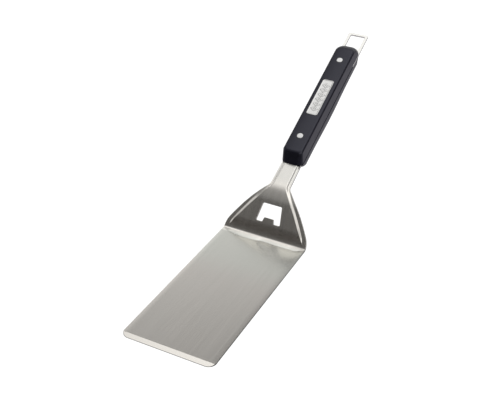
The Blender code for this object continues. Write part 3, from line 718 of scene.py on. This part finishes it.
def lower_levels():
    high = PARTING - PARTING_BELOW
    spring = -GRIP_BOTTOM + LOW_EDGE_R  # where the bottom rounding starts

    def wall_loop(share, tuck=0.0):
        return plan(
            front=-GRIP_LIP + (GRIP_LIP + LOW_SET_BACK) * share + tuck,
            rear=GRIP_LENGTH - LOW_SET_BACK * share - tuck,
            half=GRIP_HALF - LOW_DRAFT * share - tuck,
            front_r=GRIP_FRONT_R + 0.4 * MM * share,
            rear_r=GRIP_REAR_R,
            bow=GRIP_BOW,
            stations=BELLY_STATIONS,
        )

    levels = []
    for depth in (0, 0.06 * MM, 0.18 * MM, 0.4 * MM, LOW_EASE):
        loop = wall_loop(depth / (high - spring), edge_tuck(depth, LOW_EASE))
        levels.append((high - depth, loop))
    for share in (0.25, 0.5, 0.75):
        levels.append((high + (spring - high) * share, wall_loop(share)))
    for degrees in range(0, 91, 9):
        angle = math.radians(degrees)
        out = 1 - math.cos(angle)
        loop = plan(
            front=LOW_SET_BACK + 4.8 * MM * out,
            rear=GRIP_LENGTH - LOW_SET_BACK - 5.4 * MM * out,
            half=GRIP_HALF - LOW_DRAFT - LOW_EDGE_R * out,
            front_r=7.0 * MM - 0.55 * LOW_EDGE_R * out,
            rear_r=8.4 * MM - 0.55 * LOW_EDGE_R * out,
            bow=GRIP_BOW,
            stations=BELLY_STATIONS,
        )
        levels.append((spring - LOW_EDGE_R * math.sin(angle), loop))
    return levels[::-1]


def pocket_cutters():
    """Cutters of the upper and lower pockets that hold the tang."""
    before, clear, close = -6 * MM, 3 * MM, 0.12 * MM
    mouth, slot = TANG_HALF + 2.1 * MM, TANG_HALF + FIT
    half = [
        (0, before),
        (mouth, before),
        (mouth, 3.9 * MM),
        (slot, 7.6 * MM),
        (slot, TANG_FLARE_START - 0.4 * MM),
        (GRIP_HALF + clear, TANG_FLARE_START + 5.0 * MM),
        (GRIP_HALF + clear, GRIP_LENGTH + clear),
        (0, GRIP_LENGTH + clear),
    ]
    loop = closed_loop([Vector(point) for point in half])
    upper_pocket = prism("cut_upper_pocket", loop, PARTING - 2 * MM, close)
    lower_pocket = prism("cut_lower_pocket", loop, -SHEET - close, PARTING + 2 * MM)
    # room for the end of the blank's raised panel
    half, end = PANEL_STEM_HALF + FLANK_HALF + 0.2 * MM, 9.4 * MM
    corners = ((half, before), (half, end), (-half, end), (-half, before))
    loop = [Vector(point) for point in corners]
    panel_mouth = prism("cut_panel_mouth", loop, PARTING - 1.5 * MM, PANEL_RISE + close)
    return [upper_pocket, panel_mouth], [lower_pocket]


def recess_cutter():
    gap = 0.15 * MM
    corner_r = PLATE_CORNER_R + gap
    loop = plan(PLATE_FROM - gap, PLATE_TO + gap, PLATE_HALF + gap, corner_r, corner_r)
    depth = PLATE_T + PAD_T + 2 * FIT
    return prism("cut_plate_recess", loop, GRIP_TOP - depth, GRIP_TOP + 2 * MM)


def build_scales():
    upper = loft("upper_scale_fine", upper_levels())
    lower = loft("lower_scale_fine", lower_levels(), belly=True)
    upper_cutters, lower_cutters = pocket_cutters()
    upper_cutters.append(recess_cutter())
    seat_depth = RIVET_HEAD_T + FIT
    through, beyond = 3 * MM, 4 * MM
    for label, at in zip(("front", "rear"), RIVET_AT):
        bore = circle(0, at, SLEEVE_R + FIT, 48)
        seat = circle(0, at, RIVET_HEAD_R + 0.12 * MM, 72)
        shaft = prism(f"cut_{label}_shaft", bore, -GRIP_BOTTOM - through, GRIP_TOP + through)
        seat_top = prism(f"cut_{label}_seat_top", seat, GRIP_TOP - seat_depth, GRIP_TOP + beyond)
        seat_low = prism(
            f"cut_{label}_seat_low", seat, -GRIP_BOTTOM - beyond, -GRIP_BOTTOM + seat_depth
        )
        upper_cutters += [shaft, seat_top]
        lower_cutters += [shaft, seat_low]
    carve(upper, upper_cutters)
    carve(lower, lower_cutters)
    for cutter in set(upper_cutters + lower_cutters):
        bpy.data.objects.remove(cutter, do_unlink=True)
    for scale in (upper, lower):
        finish_smooth(scale, 35)
    return upper, lower


# ==================================================================================================
# rivets
# ==================================================================================================
def head_profile(z, sign):
    """A rivet head from its axis outward: a faint dimple, a shallow crown and a rolled rim."""
    points = []
    for radius in (0.0, 0.25 * MM, 0.5 * MM, 0.75 * MM, 1.0 * MM, 1.25 * MM):
        dimple = DIMPLE_DEPTH * math.cos(math.pi * radius / (2 * DIMPLE_R)) ** 2
        points.append((radius, z + sign * (RIVET_CROWN - dimple)))
    for radius in (1.6 * MM, 2.0 * MM, 2.4 * MM, 2.8 * MM, 3.1 * MM, 3.3 * MM):
        fall = (radius / RIVET_HEAD_R) ** 4 * 0.35
        points.append((radius, z + sign * (RIVET_CROWN * (1 - fall))))
    for degrees in (20, 40, 60, 80, 90):
        angle = math.radians(degrees)
        radius = RIVET_HEAD_R - RIVET_RIM_R + RIVET_RIM_R * math.sin(angle)
        points.append((radius, z + sign * (RIVET_RIM_R * math.cos(angle) - 0.06 * MM)))
    return points


def build_rivets():
    """(object, CAD node) of each sleeve, which has the top head, and pin, which has the low one."""
    head_under, head_over = GRIP_TOP - RIVET_HEAD_T, -GRIP_BOTTOM + RIVET_HEAD_T
    bore_top = PIN_TOP + 0.8 * MM
    sleeve_profile = head_profile(GRIP_TOP, 1) + [
        (RIVET_HEAD_R, head_under),
        (SLEEVE_R, head_under),
        (SLEEVE_R, SLEEVE_LOW),
        (SLEEVE_BORE_R, SLEEVE_LOW),
        (SLEEVE_BORE_R, bore_top),
        (0, bore_top),
    ]
    pin_profile = [
        (0, PIN_TOP),
        (PIN_R - 0.5 * MM, PIN_TOP),
        (PIN_R, PIN_TOP - 1.0 * MM),
        (PIN_R, head_over),
        (RIVET_HEAD_R, head_over),
    ] + head_profile(-GRIP_BOTTOM, -1)[::-1]
    pieces = []
    for label, at in zip(("front", "rear"), RIVET_AT):
        for part, profile in (("sleeve", sleeve_profile), ("pin", pin_profile)):
            node = f"{label}_rivet_{part}"
            pieces.append((turned(f"{node}_fine", profile, at), node))
    return pieces


# ==================================================================================================
# plate
# ==================================================================================================
def motif(x, along):
    """Height share of the plate's raised pattern: a chain of pierced lozenges."""
    from_centre = along - (PLATE_FROM + PLATE_TO) / 2
    last = (MOTIF_COUNT - 1) / 2
    nearest = np.clip(np.round(from_centre / MOTIF_PITCH - 0.5) + 0.5, -last, last)
    off = np.abs(from_centre - nearest * MOTIF_PITCH)
    measure = off / MOTIF_REACH_ALONG + np.abs(x) / MOTIF_REACH_ACROSS
    depth = 1 / math.hypot(1 / MOTIF_REACH_ALONG, 1 / MOTIF_REACH_ACROSS)
    outside, hole = (measure - 1) * depth, (measure - MOTIF_HOLE) * depth
    return smooth(0.5 - outside / MOTIF_FOOT) * smooth(0.5 + hole / MOTIF_FOOT)


def build_plate():
    loop = plan(PLATE_FROM, PLATE_TO, PLATE_HALF, PLATE_CORNER_R, PLATE_CORNER_R)
    rim = inset_loop(loop, PLATE_EDGE_R)
    points, edges = [], []
    for ring in (rim, inset_loop(loop, PLATE_RIM), inset_loop(loop, PLATE_RIM + 0.25 * MM)):
        add_chain(points, edges, ring, True)
    count_across = int(2 * PLATE_HALF / PLATE_GRID)
    count_along = int((PLATE_TO - PLATE_FROM) / PLATE_GRID)
    grid_x, grid_along = np.meshgrid(
        np.linspace(-PLATE_HALF, PLATE_HALF, count_across),
        np.linspace(PLATE_FROM, PLATE_TO, count_along),
    )
    grid = np.stack([grid_x.ravel(), grid_along.ravel()], 1)
    near = inside(inset_loop(loop, PLATE_RIM + 0.4 * MM), grid)
    points.extend(Vector(point) for point in grid[near].tolist())
    flat, triangles = triangulate(points, edges, 1e-4, rim)

    rim_top = GRIP_TOP + PLATE_RIM_RISE
    in_field = inside(inset_loop(loop, PLATE_RIM + 0.24 * MM), flat)
    share = motif(flat[:, 0], flat[:, 1])
    field = GRIP_TOP + 0.01 * MM + (PLATE_RIM_RISE - 0.02 * MM) * share
    coords = [np.column_stack([flat, np.where(in_field, field, rim_top)])]

    # rings of the rounded edge, then the foot of the wall
    border, after, border_points, outward = find_border(flat, triangles)
    rings = []
    for degrees in (30, 60, 90):
        angle = math.radians(degrees)
        height = rim_top - PLATE_EDGE_R * (1 - math.cos(angle))
        rings.append((PLATE_EDGE_R * math.sin(angle), height))
    rings.append((PLATE_EDGE_R, rim_top - PLATE_T - 0.1 * MM))
    levels = [np.array(border)]
    start = len(flat)
    for reach, height in rings:
        ring = border_points + outward * reach
        coords.append(np.column_stack([ring, np.full(len(ring), height)]))
        levels.append(np.arange(len(ring)) + start)
        start += len(ring)

    faces = [tuple(face) for face in triangles.tolist()]
    faces += wall_faces(levels, border, after)
    order = [border[0]]
    while after[order[-1]] != border[0]:
        order.append(after[order[-1]])
    slot_of = {vertex: i for i, vertex in enumerate(border)}
    faces.append(tuple(int(levels[-1][slot_of[vertex]]) for vertex in reversed(order)))

    mesh = bpy.data.meshes.new("plate_fine")
    mesh.from_pydata(np.concatenate(coords).tolist(), [], faces)
    mesh.validate()
    relief = np.zeros(len(mesh.vertices), np.float32)
    relief[: len(flat)] = np.where(in_field, share, 0.0)
    mesh.attributes.new("relief", "FLOAT", "POINT").data.foreach_set("value", relief)
    obj = new_object("plate_fine", mesh)
    finish_smooth(obj, 50)
    return obj


blank = build_blank()
upper, lower = build_scales()
rivets = build_rivets()
plate = build_plate()

# the grip parts are carried from the grip's frame onto the stem
grip_y, grip_z, _ = side_line(np.array([GRIP_START]))
grip_place = Matrix.Translation((0, float(grip_y[0]), float(grip_z[0])))
GRIP_FRAME = grip_place @ Matrix.Rotation(math.radians(STEM_ANGLE), 4, "X")
for piece in [upper, lower, plate] + [rivet for rivet, _ in rivets]:
    piece.data.transform(GRIP_FRAME)
    piece.data.update()


# ==================================================================================================
# materials
# ==================================================================================================
class Nodes:
    """Short calls for building a node tree."""

    MIX_SOCKETS = {"FLOAT": (2, 3, 0), "VECTOR": (4, 5, 1), "RGBA": (6, 7, 2)}  # a, b, result

    def __init__(self, tree):
        self.tree = tree
        tree.nodes.clear()

    def add(self, kind, **settings):
        node = self.tree.nodes.new(kind)
        for key, value in settings.items():
            setattr(node, key, value)
        return node

    def source(self, kind, output, **settings):
        return self.add(kind, **settings).outputs[output]

    def link(self, output, socket):
        self.tree.links.new(output, socket)

    def feed(self, socket, value):
        if isinstance(value, bpy.types.NodeSocket):
            self.link(value, socket)
        else:
            socket.default_value = value

    def math(self, operation, a, b=0.0, c=0.0):
        node = self.add("ShaderNodeMath", operation=operation)
        for socket, value in zip(node.inputs, (a, b, c)):
            self.feed(socket, value)
        return node.outputs[0]

    def plus(self, a, b):
        return self.math("ADD", a, b)

    def times(self, a, b):
        return self.math("MULTIPLY", a, b)

    def vector(self, operation, a, b=None):
        node = self.add("ShaderNodeVectorMath", operation=operation)
        self.feed(node.inputs[0], a)
        if b is not None:
            self.feed(node.inputs[1], b)
        return node.outputs["Value" if operation == "DOT_PRODUCT" else 0]

    def split(self, vector):
        node = self.add("ShaderNodeSeparateXYZ")
        self.link(vector, node.inputs[0])
        return node.outputs

    def ramp(self, value, over, give=(0.0, 1.0), kind="SMOOTHSTEP"):
        """Carries a value from one range to another, clamped."""
        node = self.add("ShaderNodeMapRange", interpolation_type=kind)
        self.feed(node.inputs["Value"], value)
        for name, end in zip(("From Min", "From Max", "To Min", "To Max"), (*over, *give)):
            self.feed(node.inputs[name], end)
        return node.outputs[0]

    def linear(self, value, over, give=(0.0, 1.0)):
        return self.ramp(value, over, give, "LINEAR")

    def noise(self, vector, scale, detail, rough):
        node = self.add("ShaderNodeTexNoise")
        self.feed(node.inputs["Vector"], vector)
        self.feed(node.inputs["Scale"], scale)
        self.feed(node.inputs["Detail"], detail)
        self.feed(node.inputs["Roughness"], rough)
        return node.outputs["Fac"]

    def mix(self, factor, a, b, kind="RGBA"):
        node = self.add("ShaderNodeMix", data_type=kind)
        first, second, result = self.MIX_SOCKETS[kind]
        self.feed(node.inputs[0], factor)
        self.feed(node.inputs[first], a)
        self.feed(node.inputs[second], b)
        return node.outputs[result]

    def curve(self, value, stops):
        """A smooth curve through stops (position, value), both from 0 to 1."""
        node = self.add("ShaderNodeFloatCurve")
        self.feed(node.inputs["Value"], value)
        points = node.mapping.curves[0].points
        while len(points) < len(stops):
            points.new(0.5, 0.5)
        for point, stop in zip(points, stops):
            point.location = stop
            point.handle_type = "AUTO_CLAMPED"
        node.mapping.update()
        return node.outputs[0]

    def bump(self, height, strength, distance, normal=None):
        node = self.add("ShaderNodeBump")
        self.feed(node.inputs["Strength"], strength)
        self.feed(node.inputs["Distance"], distance)
        self.feed(node.inputs["Height"], height)
        if normal is not None:
            self.link(normal, node.inputs["Normal"])
        return node.outputs[0]


def new_material(name):
    material = bpy.data.materials.new(name)
    material.use_nodes = True
    return material, Nodes(material.node_tree)


def principled(name):
    material, nodes = new_material(name)
    shader = nodes.add("ShaderNodeBsdfPrincipled")
    nodes.link(shader.outputs[0], nodes.add("ShaderNodeOutputMaterial").inputs[0])
    return material, nodes, shader


# the ramp along the foot of the bend: (place across the blade, width of the ramp) in mm
RAMP_WIDTHS = (
    (-50, 0.0), (-46, 2.6), (-38, 6.4), (-20, 8.6), (-8, 7.8),
    (2, 6.2), (20, 6.8), (38, 6.4), (45, 3.4), (50, 0.0),
)
RAMP_CURVE_ACROSS, RAMP_CURVE_WIDTH = 100, 12  # mm, what the full axes of its curve stand for
RAMP_SLOPE, RAMP_EASE = 0.22, 1.2 * MM


def steel_cast(nodes, across, along):
    """Colour cast by place on the sheet, with a painted highlight and painted shade along the foot of
    the bend.
    """
    warm, greenish = (1.0, 0.974, 0.952, 1), (1.0, 1.014, 0.985, 1)
    stem, plain = (0.915, 0.908, 0.897, 1), (1.0, 1.0, 1.0, 1)
    # a faint warm cast, turning faintly green over the rear of the blade
    rear = nodes.times(
        nodes.ramp(along, over=(0.118, 0.166)),
        nodes.ramp(along, over=(HEEL_START - 6 * MM, HEEL_START), give=(1.0, 0.0)),
    )
    cast = nodes.mix(rear, warm, greenish)
    # darker past the crest, plain again under the rear of the grip
    past_crest = nodes.ramp(along, over=(CREST_END - 4 * MM, CREST_END + 12 * MM))
    cast = nodes.mix(past_crest, cast, stem)
    cast = nodes.mix(nodes.ramp(along, over=(tang(120 * MM), tang(140 * MM))), cast, plain)
    # painted light and shade along the foot of the bend: a painted highlight towards -X, painted
    # shade towards +X
    foot = nodes.times(
        nodes.ramp(along, over=(HEEL_START - 7.5 * MM, HEEL_START - 3 * MM)),
        nodes.ramp(along, over=(HEEL_START + 0.3 * MM, HEEL_START + 2.5 * MM), give=(1.0, 0.0)),
    )
    painted_light_and_shade = nodes.plus(
        nodes.linear(across, over=(-50 * MM, -18 * MM), give=(0.50, 0.04)),
        nodes.linear(across, over=(32 * MM, 46 * MM), give=(0.0, -0.38)),
    )
    return nodes.vector("MULTIPLY", cast, nodes.plus(1.0, nodes.times(foot, painted_light_and_shade)))


def steel_normal(nodes, uv_parts, along, streak):
    """Bump of the brushing, and of the shallow ramp the press leaves along the foot of the bend."""
    brushed = nodes.bump(streak, strength=0.10, distance=0.00006)
    stops = [(x / RAMP_CURVE_ACROSS + 0.5, y / RAMP_CURVE_WIDTH) for x, y in RAMP_WIDTHS]
    band = nodes.curve(nodes.plus(uv_parts["X"], 0.5), stops)
    from_bend = nodes.math("SUBTRACT", along, HEEL_START + 0.2 * MM)
    width = nodes.times(band, RAMP_CURVE_WIDTH * MM)
    rise = nodes.plus(nodes.math("MINIMUM", from_bend, 0.0), width)
    height = nodes.times(nodes.math("SMOOTH_MAX", rise, 0.0, RAMP_EASE), RAMP_SLOPE)
    ramped = nodes.bump(height, strength=1.0, distance=1.0, normal=brushed)
    past_bend = nodes.linear(from_bend, over=(0.0, 0.4 * MM))
    return nodes.mix(past_bend, ramped, brushed, kind="VECTOR")


def brushed_steel():
    material, nodes, shader = principled("brushed_stainless")
    dark, light = (0.595, 0.588, 0.565, 1), (0.655, 0.648, 0.628, 1)
    clouded = (0.60, 0.605, 0.585, 1)
    uv = nodes.source("ShaderNodeUVMap", 0, uv_map="sheet")

    def stretched(stretch, detail, rough):
        scaled = nodes.vector("MULTIPLY", uv, stretch)
        return nodes.noise(scaled, scale=1.0, detail=detail, rough=rough)

    # the brushing runs along the sheet: fine and wide streaks, and soft clouds
    fine = stretched((260.0, 2.2, 1.0), detail=4.0, rough=0.65)
    wide = stretched((26.0, 0.55, 1.0), detail=3.0, rough=0.6)
    cloud = stretched((2.2, 1.1, 1.0), detail=3.0, rough=0.55)
    streak = nodes.plus(nodes.times(fine, 0.55), nodes.times(wide, 0.45))
    colour = nodes.mix(nodes.linear(streak, over=(0.3, 0.7)), dark, light)
    clouds = nodes.linear(cloud, over=(0.35, 0.7), give=(0.0, 0.35))
    colour = nodes.mix(clouds, colour, clouded)
    uv_parts = nodes.split(uv)
    along = nodes.times(uv_parts["Y"], 1 / UV_SCALE)
    across = nodes.times(uv_parts["X"], 1 / UV_SCALE)
    tinted = nodes.vector("MULTIPLY", colour, steel_cast(nodes, across, along))
    rough = nodes.linear(streak, over=(0.25, 0.75), give=(0.21, 0.28))
    tangent = nodes.source("ShaderNodeTangent", 0, direction_type="UV_MAP", uv_map="sheet")
    nodes.feed(shader.inputs["Base Color"], tinted)
    nodes.feed(shader.inputs["Metallic"], 1.0)
    nodes.feed(shader.inputs["Roughness"], rough)
    nodes.feed(shader.inputs["Anisotropic"], 0.75)
    nodes.feed(shader.inputs["Tangent"], tangent)
    nodes.feed(shader.inputs["Normal"], steel_normal(nodes, uv_parts, along, streak))
    return material


def resin():
    material, nodes, shader = principled("black_resin")
    dark, light = (0.0034, 0.0033, 0.0080, 1), (0.0054, 0.0052, 0.0110, 1)
    where = nodes.source("ShaderNodeTexCoord", "Object")
    grain = nodes.noise(where, scale=2600.0, detail=3.0, rough=0.6)
    patch = nodes.noise(where, scale=90.0, detail=3.0, rough=0.55)
    nodes.feed(
        shader.inputs["Base Color"],
        nodes.mix(nodes.linear(patch, over=(0.3, 0.7)), dark, light),
    )
    rough = nodes.linear(patch, over=(0.3, 0.7), give=(0.32, 0.38))
    nodes.feed(shader.inputs["Roughness"], rough)
    nodes.feed(shader.inputs["IOR"], 1.46)
    # painted shade on the top face: its reflection is weaker towards its -X edge and towards the
    # rear, and a painted highlight makes it a little stronger towards +X
    place = nodes.split(where)
    facing = nodes.split(nodes.source("ShaderNodeNewGeometry", "Normal"))
    painted_top_light = nodes.plus(
        nodes.linear(place["X"], over=(-11 * MM, -1 * MM), give=(-0.19, -0.01)),
        nodes.linear(place["X"], over=(-1 * MM, 6 * MM), give=(0.0, 0.045)),
    )
    painted_top_light = nodes.plus(painted_top_light, nodes.ramp(place["Y"], over=(0.22, 0.31), give=(0.0, -0.045)))
    painted_top_light = nodes.times(painted_top_light, nodes.ramp(facing["Z"], over=(0.5, 0.8)))
    nodes.feed(shader.inputs["Specular IOR Level"], nodes.plus(0.52, painted_top_light))
    nodes.feed(shader.inputs["Specular Tint"], (0.83, 0.84, 1.0, 1))
    normal = nodes.bump(grain, strength=0.12, distance=0.00005)
    nodes.feed(shader.inputs["Normal"], normal)
    return material


def bright_metal(name, colour, rough, grain_scale, strength, outlined=False):
    material, nodes, shader = principled(name)
    dark = tuple(channel * 0.93 for channel in colour) + (1,)
    light = tuple(min(1, channel * 1.04) for channel in colour) + (1,)
    where = nodes.source("ShaderNodeTexCoord", "Object")
    grain = nodes.noise(where, scale=grain_scale, detail=3.0, rough=0.6)
    tint = nodes.mix(nodes.linear(grain, over=(0.3, 0.7)), dark, light)
    if outlined:
        # the base colour is darkened to a dark line along the stamped foot of the relief
        share = nodes.source("ShaderNodeAttribute", "Fac", attribute_name="relief")
        foot = nodes.times(
            nodes.ramp(share, over=(0.02, 0.25)),
            nodes.ramp(share, over=(0.55, 0.9), give=(1.0, 0.0)),
        )
        tint = nodes.mix(nodes.times(foot, 0.85), tint, (0.10, 0.10, 0.10, 1))
    nodes.feed(shader.inputs["Base Color"], tint)
    nodes.feed(shader.inputs["Metallic"], 1.0)
    roughness = nodes.linear(grain, over=(0.3, 0.7), give=(rough - 0.03, rough + 0.05))
    nodes.feed(shader.inputs["Roughness"], roughness)
    normal = nodes.bump(grain, strength=strength, distance=0.00004)
    nodes.feed(shader.inputs["Normal"], normal)
    return material


def foam():
    material, nodes, shader = principled("adhesive_foam")
    where = nodes.source("ShaderNodeTexCoord", "Object")
    cells = nodes.noise(where, scale=1800.0, detail=2.0, rough=0.5)
    colour = nodes.mix(cells, (0.03, 0.03, 0.03, 1), (0.07, 0.07, 0.07, 1))
    nodes.feed(shader.inputs["Base Color"], colour)
    nodes.feed(shader.inputs["Roughness"], 0.85)
    return material


def dress(obj, material, node):
    obj.data.materials.clear()
    obj.data.materials.append(material)
    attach(obj, "root")
    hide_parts(node)


steel = brushed_steel()
black = resin()
rivet_metal = bright_metal(
    "rivet_steel", colour=(0.515, 0.515, 0.515), rough=0.24, grain_scale=900.0, strength=0.12
)
plate_metal = bright_metal(
    "plate_steel",
    colour=(0.53, 0.53, 0.525),
    rough=0.26,
    grain_scale=1400.0,
    strength=0.14,
    outlined=True,
)
foam_material = foam()

dress(blank, steel, "turner_blank")
dress(upper, black, "upper_scale")
dress(lower, black, "lower_scale")
for rivet, node in rivets:
    dress(rivet, rivet_metal, node)
dress(plate, plate_metal, "name_plate")
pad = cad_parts["plate_adhesive_pad"]
pad.data.materials.clear()
pad.data.materials.append(foam_material)

# ==================================================================================================
# studio: the camera stands towards -Y and +X of the turner
# ==================================================================================================
# brightness of the sky by the sine of the elevation
SKY_BEHIND = (  # towards +Y: the bright sweep behind the turner
    (-1.0, 0.5), (0.10, 0.45), (0.28, 0.70), (0.42, 1.12), (0.50, 1.05), (0.56, 0.87),
    (0.60, 0.70), (0.63, 0.53), (0.66, 0.37), (0.70, 0.27), (0.75, 0.30), (0.79, 0.68),
    (0.84, 1.46), (0.88, 1.70), (0.93, 1.60), (1.0, 1.45),
)
SKY_FRONT = (  # towards -Y: the dark room behind the camera
    (-1.0, 0.06), (0.20, 0.055), (0.30, 0.03), (0.42, 0.035), (0.48, 0.078), (0.50, 0.092),
    (0.53, 0.110), (0.60, 0.165), (0.70, 0.28), (0.85, 0.36), (1.0, 0.5),
)
SKY_TOP = 2.0  # brightness at the top of the curves
# direction, half angles in degrees of the full part and of the soft edge, and strength
FLATS = (  # dark; the strength is the share of light left
    ((0.83, 0.50, 0.15), 18, 30, 0.10),
    ((-0.90, 0.25, 0.35), 14, 34, 0.50),
)
SOFTBOXES = (  # the strength is the light added
    ((0.68, -0.62, 0.40), 24, 38, 1.30),
    ((-0.93, -0.33, 0.17), 20, 34, 0.95),
    ((-0.80, 0.60, 0.10), 11, 20, 1.15),
    ((0.55, -0.16, 0.82), 8, 18, 0.40),
    ((0.22, -0.08, 0.97), 6, 28, 0.70),
)


def sky_strength(nodes, direction, parts):
    def profile(stops):
        height = nodes.math("MULTIPLY_ADD", parts["Z"], 0.5, 0.5)
        scaled = [((z + 1) / 2, value / SKY_TOP) for z, value in stops]
        return nodes.times(nodes.curve(height, scaled), SKY_TOP)

    def toward(aim, inner, outer, low, high):
        """low outside a soft disc of the sky, high inside it."""
        dot = nodes.vector("DOT_PRODUCT", direction, tuple(Vector(aim).normalized()))
        edge = (math.cos(math.radians(outer)), math.cos(math.radians(inner)))
        return nodes.ramp(dot, over=edge, give=(low, high))

    # the bright sweep is dimmer away from +Y
    sweep = nodes.ramp(parts["Y"], over=(0.04, 0.32), give=(0.80, 1.02))
    behind = nodes.ramp(parts["Y"], over=(-0.29, 0.15))
    front = profile(SKY_FRONT)
    total = nodes.mix(behind, front, nodes.times(profile(SKY_BEHIND), sweep), kind="FLOAT")
    for aim, inner, outer, share in FLATS:
        total = nodes.times(total, toward(aim, inner, outer, 1.0, share))
    for aim, inner, outer, strength in SOFTBOXES:
        total = nodes.plus(total, toward(aim, inner, outer, 0.0, strength))
    return total


def build_world():
    """A sky that lights the turner; the camera itself sees plain white."""
    world = bpy.data.worlds.new("studio")
    bpy.context.scene.world = world
    world.use_nodes = True
    nodes = Nodes(world.node_tree)
    generated = nodes.source("ShaderNodeTexCoord", "Generated")
    direction = nodes.vector("NORMALIZE", generated)
    parts = nodes.split(direction)
    total = sky_strength(nodes, direction, parts)
    # the room behind the camera is a warmer grey low down
    warm = nodes.times(
        nodes.ramp(parts["Y"], over=(-0.5, -0.1), give=(1.0, 0.0)),
        nodes.ramp(parts["Z"], over=(0.42, 0.53), give=(1.0, 0.0)),
    )
    warm = nodes.times(warm, nodes.ramp(total, over=(0.25, 0.8), give=(1.0, 0.0)))
    lit = nodes.add("ShaderNodeBackground")
    colour = nodes.mix(warm, (1.0, 0.995, 0.985, 1), (1.0, 0.89, 0.80, 1))
    nodes.feed(lit.inputs["Color"], colour)
    nodes.feed(lit.inputs["Strength"], total)
    white = nodes.add("ShaderNodeBackground")
    nodes.feed(white.inputs["Color"], (1, 1, 1, 1))
    nodes.feed(white.inputs["Strength"], 1.0)
    both = nodes.add("ShaderNodeMixShader")
    nodes.link(nodes.source("ShaderNodeLightPath", "Is Camera Ray"), both.inputs[0])
    nodes.link(lit.outputs[0], both.inputs[1])
    nodes.link(white.outputs[0], both.inputs[2])
    nodes.link(both.outputs[0], nodes.add("ShaderNodeOutputWorld").inputs[0])


def floor_white():
    """White to the camera; in reflections it falls off towards -Y and towards +X."""
    material, nodes = new_material("floor_white")
    camera_ray = nodes.source("ShaderNodeLightPath", "Is Camera Ray")
    place = nodes.split(nodes.source("ShaderNodeTexCoord", "Object"))
    fall = nodes.times(
        nodes.ramp(place["Y"], over=(0.06, 0.30), give=(0.04, 0.55)),
        nodes.ramp(place["X"], over=(0.30, 0.66), give=(1.0, 0.12)),
    )
    seen = nodes.times(camera_ray, 0.88)
    reflected = nodes.times(nodes.math("SUBTRACT", 1.0, camera_ray), fall)
    diffuse = nodes.add("ShaderNodeBsdfDiffuse")
    grey = nodes.mix(camera_ray, (0.10, 0.10, 0.10, 1), (0.28, 0.28, 0.28, 1))
    nodes.feed(diffuse.inputs["Color"], grey)
    glow = nodes.add("ShaderNodeEmission")
    glow_colour = nodes.mix(camera_ray, (0.99, 0.955, 1.04, 1), (1, 1, 1, 1))
    nodes.feed(glow.inputs["Color"], glow_colour)
    nodes.feed(glow.inputs["Strength"], nodes.plus(seen, reflected))
    both = nodes.add("ShaderNodeAddShader")
    nodes.link(diffuse.outputs[0], both.inputs[0])
    nodes.link(glow.outputs[0], both.inputs[1])
    nodes.link(both.outputs[0], nodes.add("ShaderNodeOutputMaterial").inputs[0])
    return material


def build_floor():
    reach, drop = 6.0, 0.0002
    corners = [(-reach, -reach, 0), (reach, -reach, 0), (reach, reach, 0), (-reach, reach, 0)]
    mesh = bpy.data.meshes.new("floor")
    mesh.from_pydata(corners, [], [(0, 1, 2, 3)])
    floor = new_object("floor", mesh)
    floor.location.z = -drop
    floor.data.materials.append(floor_white())


CAMERA_PLACE = Matrix(
    (
        (0.8950346, -0.2545472, 0.3662223, 0.3345892),
        (0.4451969, 0.4607596, -0.7677892, -0.6347152),
        (0.0266982, 0.8502390, 0.5257194, 0.5526917),
        (0.0, 0.0, 0.0, 1.0),
    )
)


def build_camera():
    data = bpy.data.cameras.new("camera")
    data.sensor_width = 36.0
    data.lens = 63.572
    data.clip_start = 0.01
    camera = new_object("camera", data)
    camera.matrix_world = CAMERA_PLACE
    bpy.context.scene.camera = camera


view = bpy.context.scene.view_settings
view.view_transform = "Standard"
view.look = "None"
build_world()
build_floor()
build_camera()
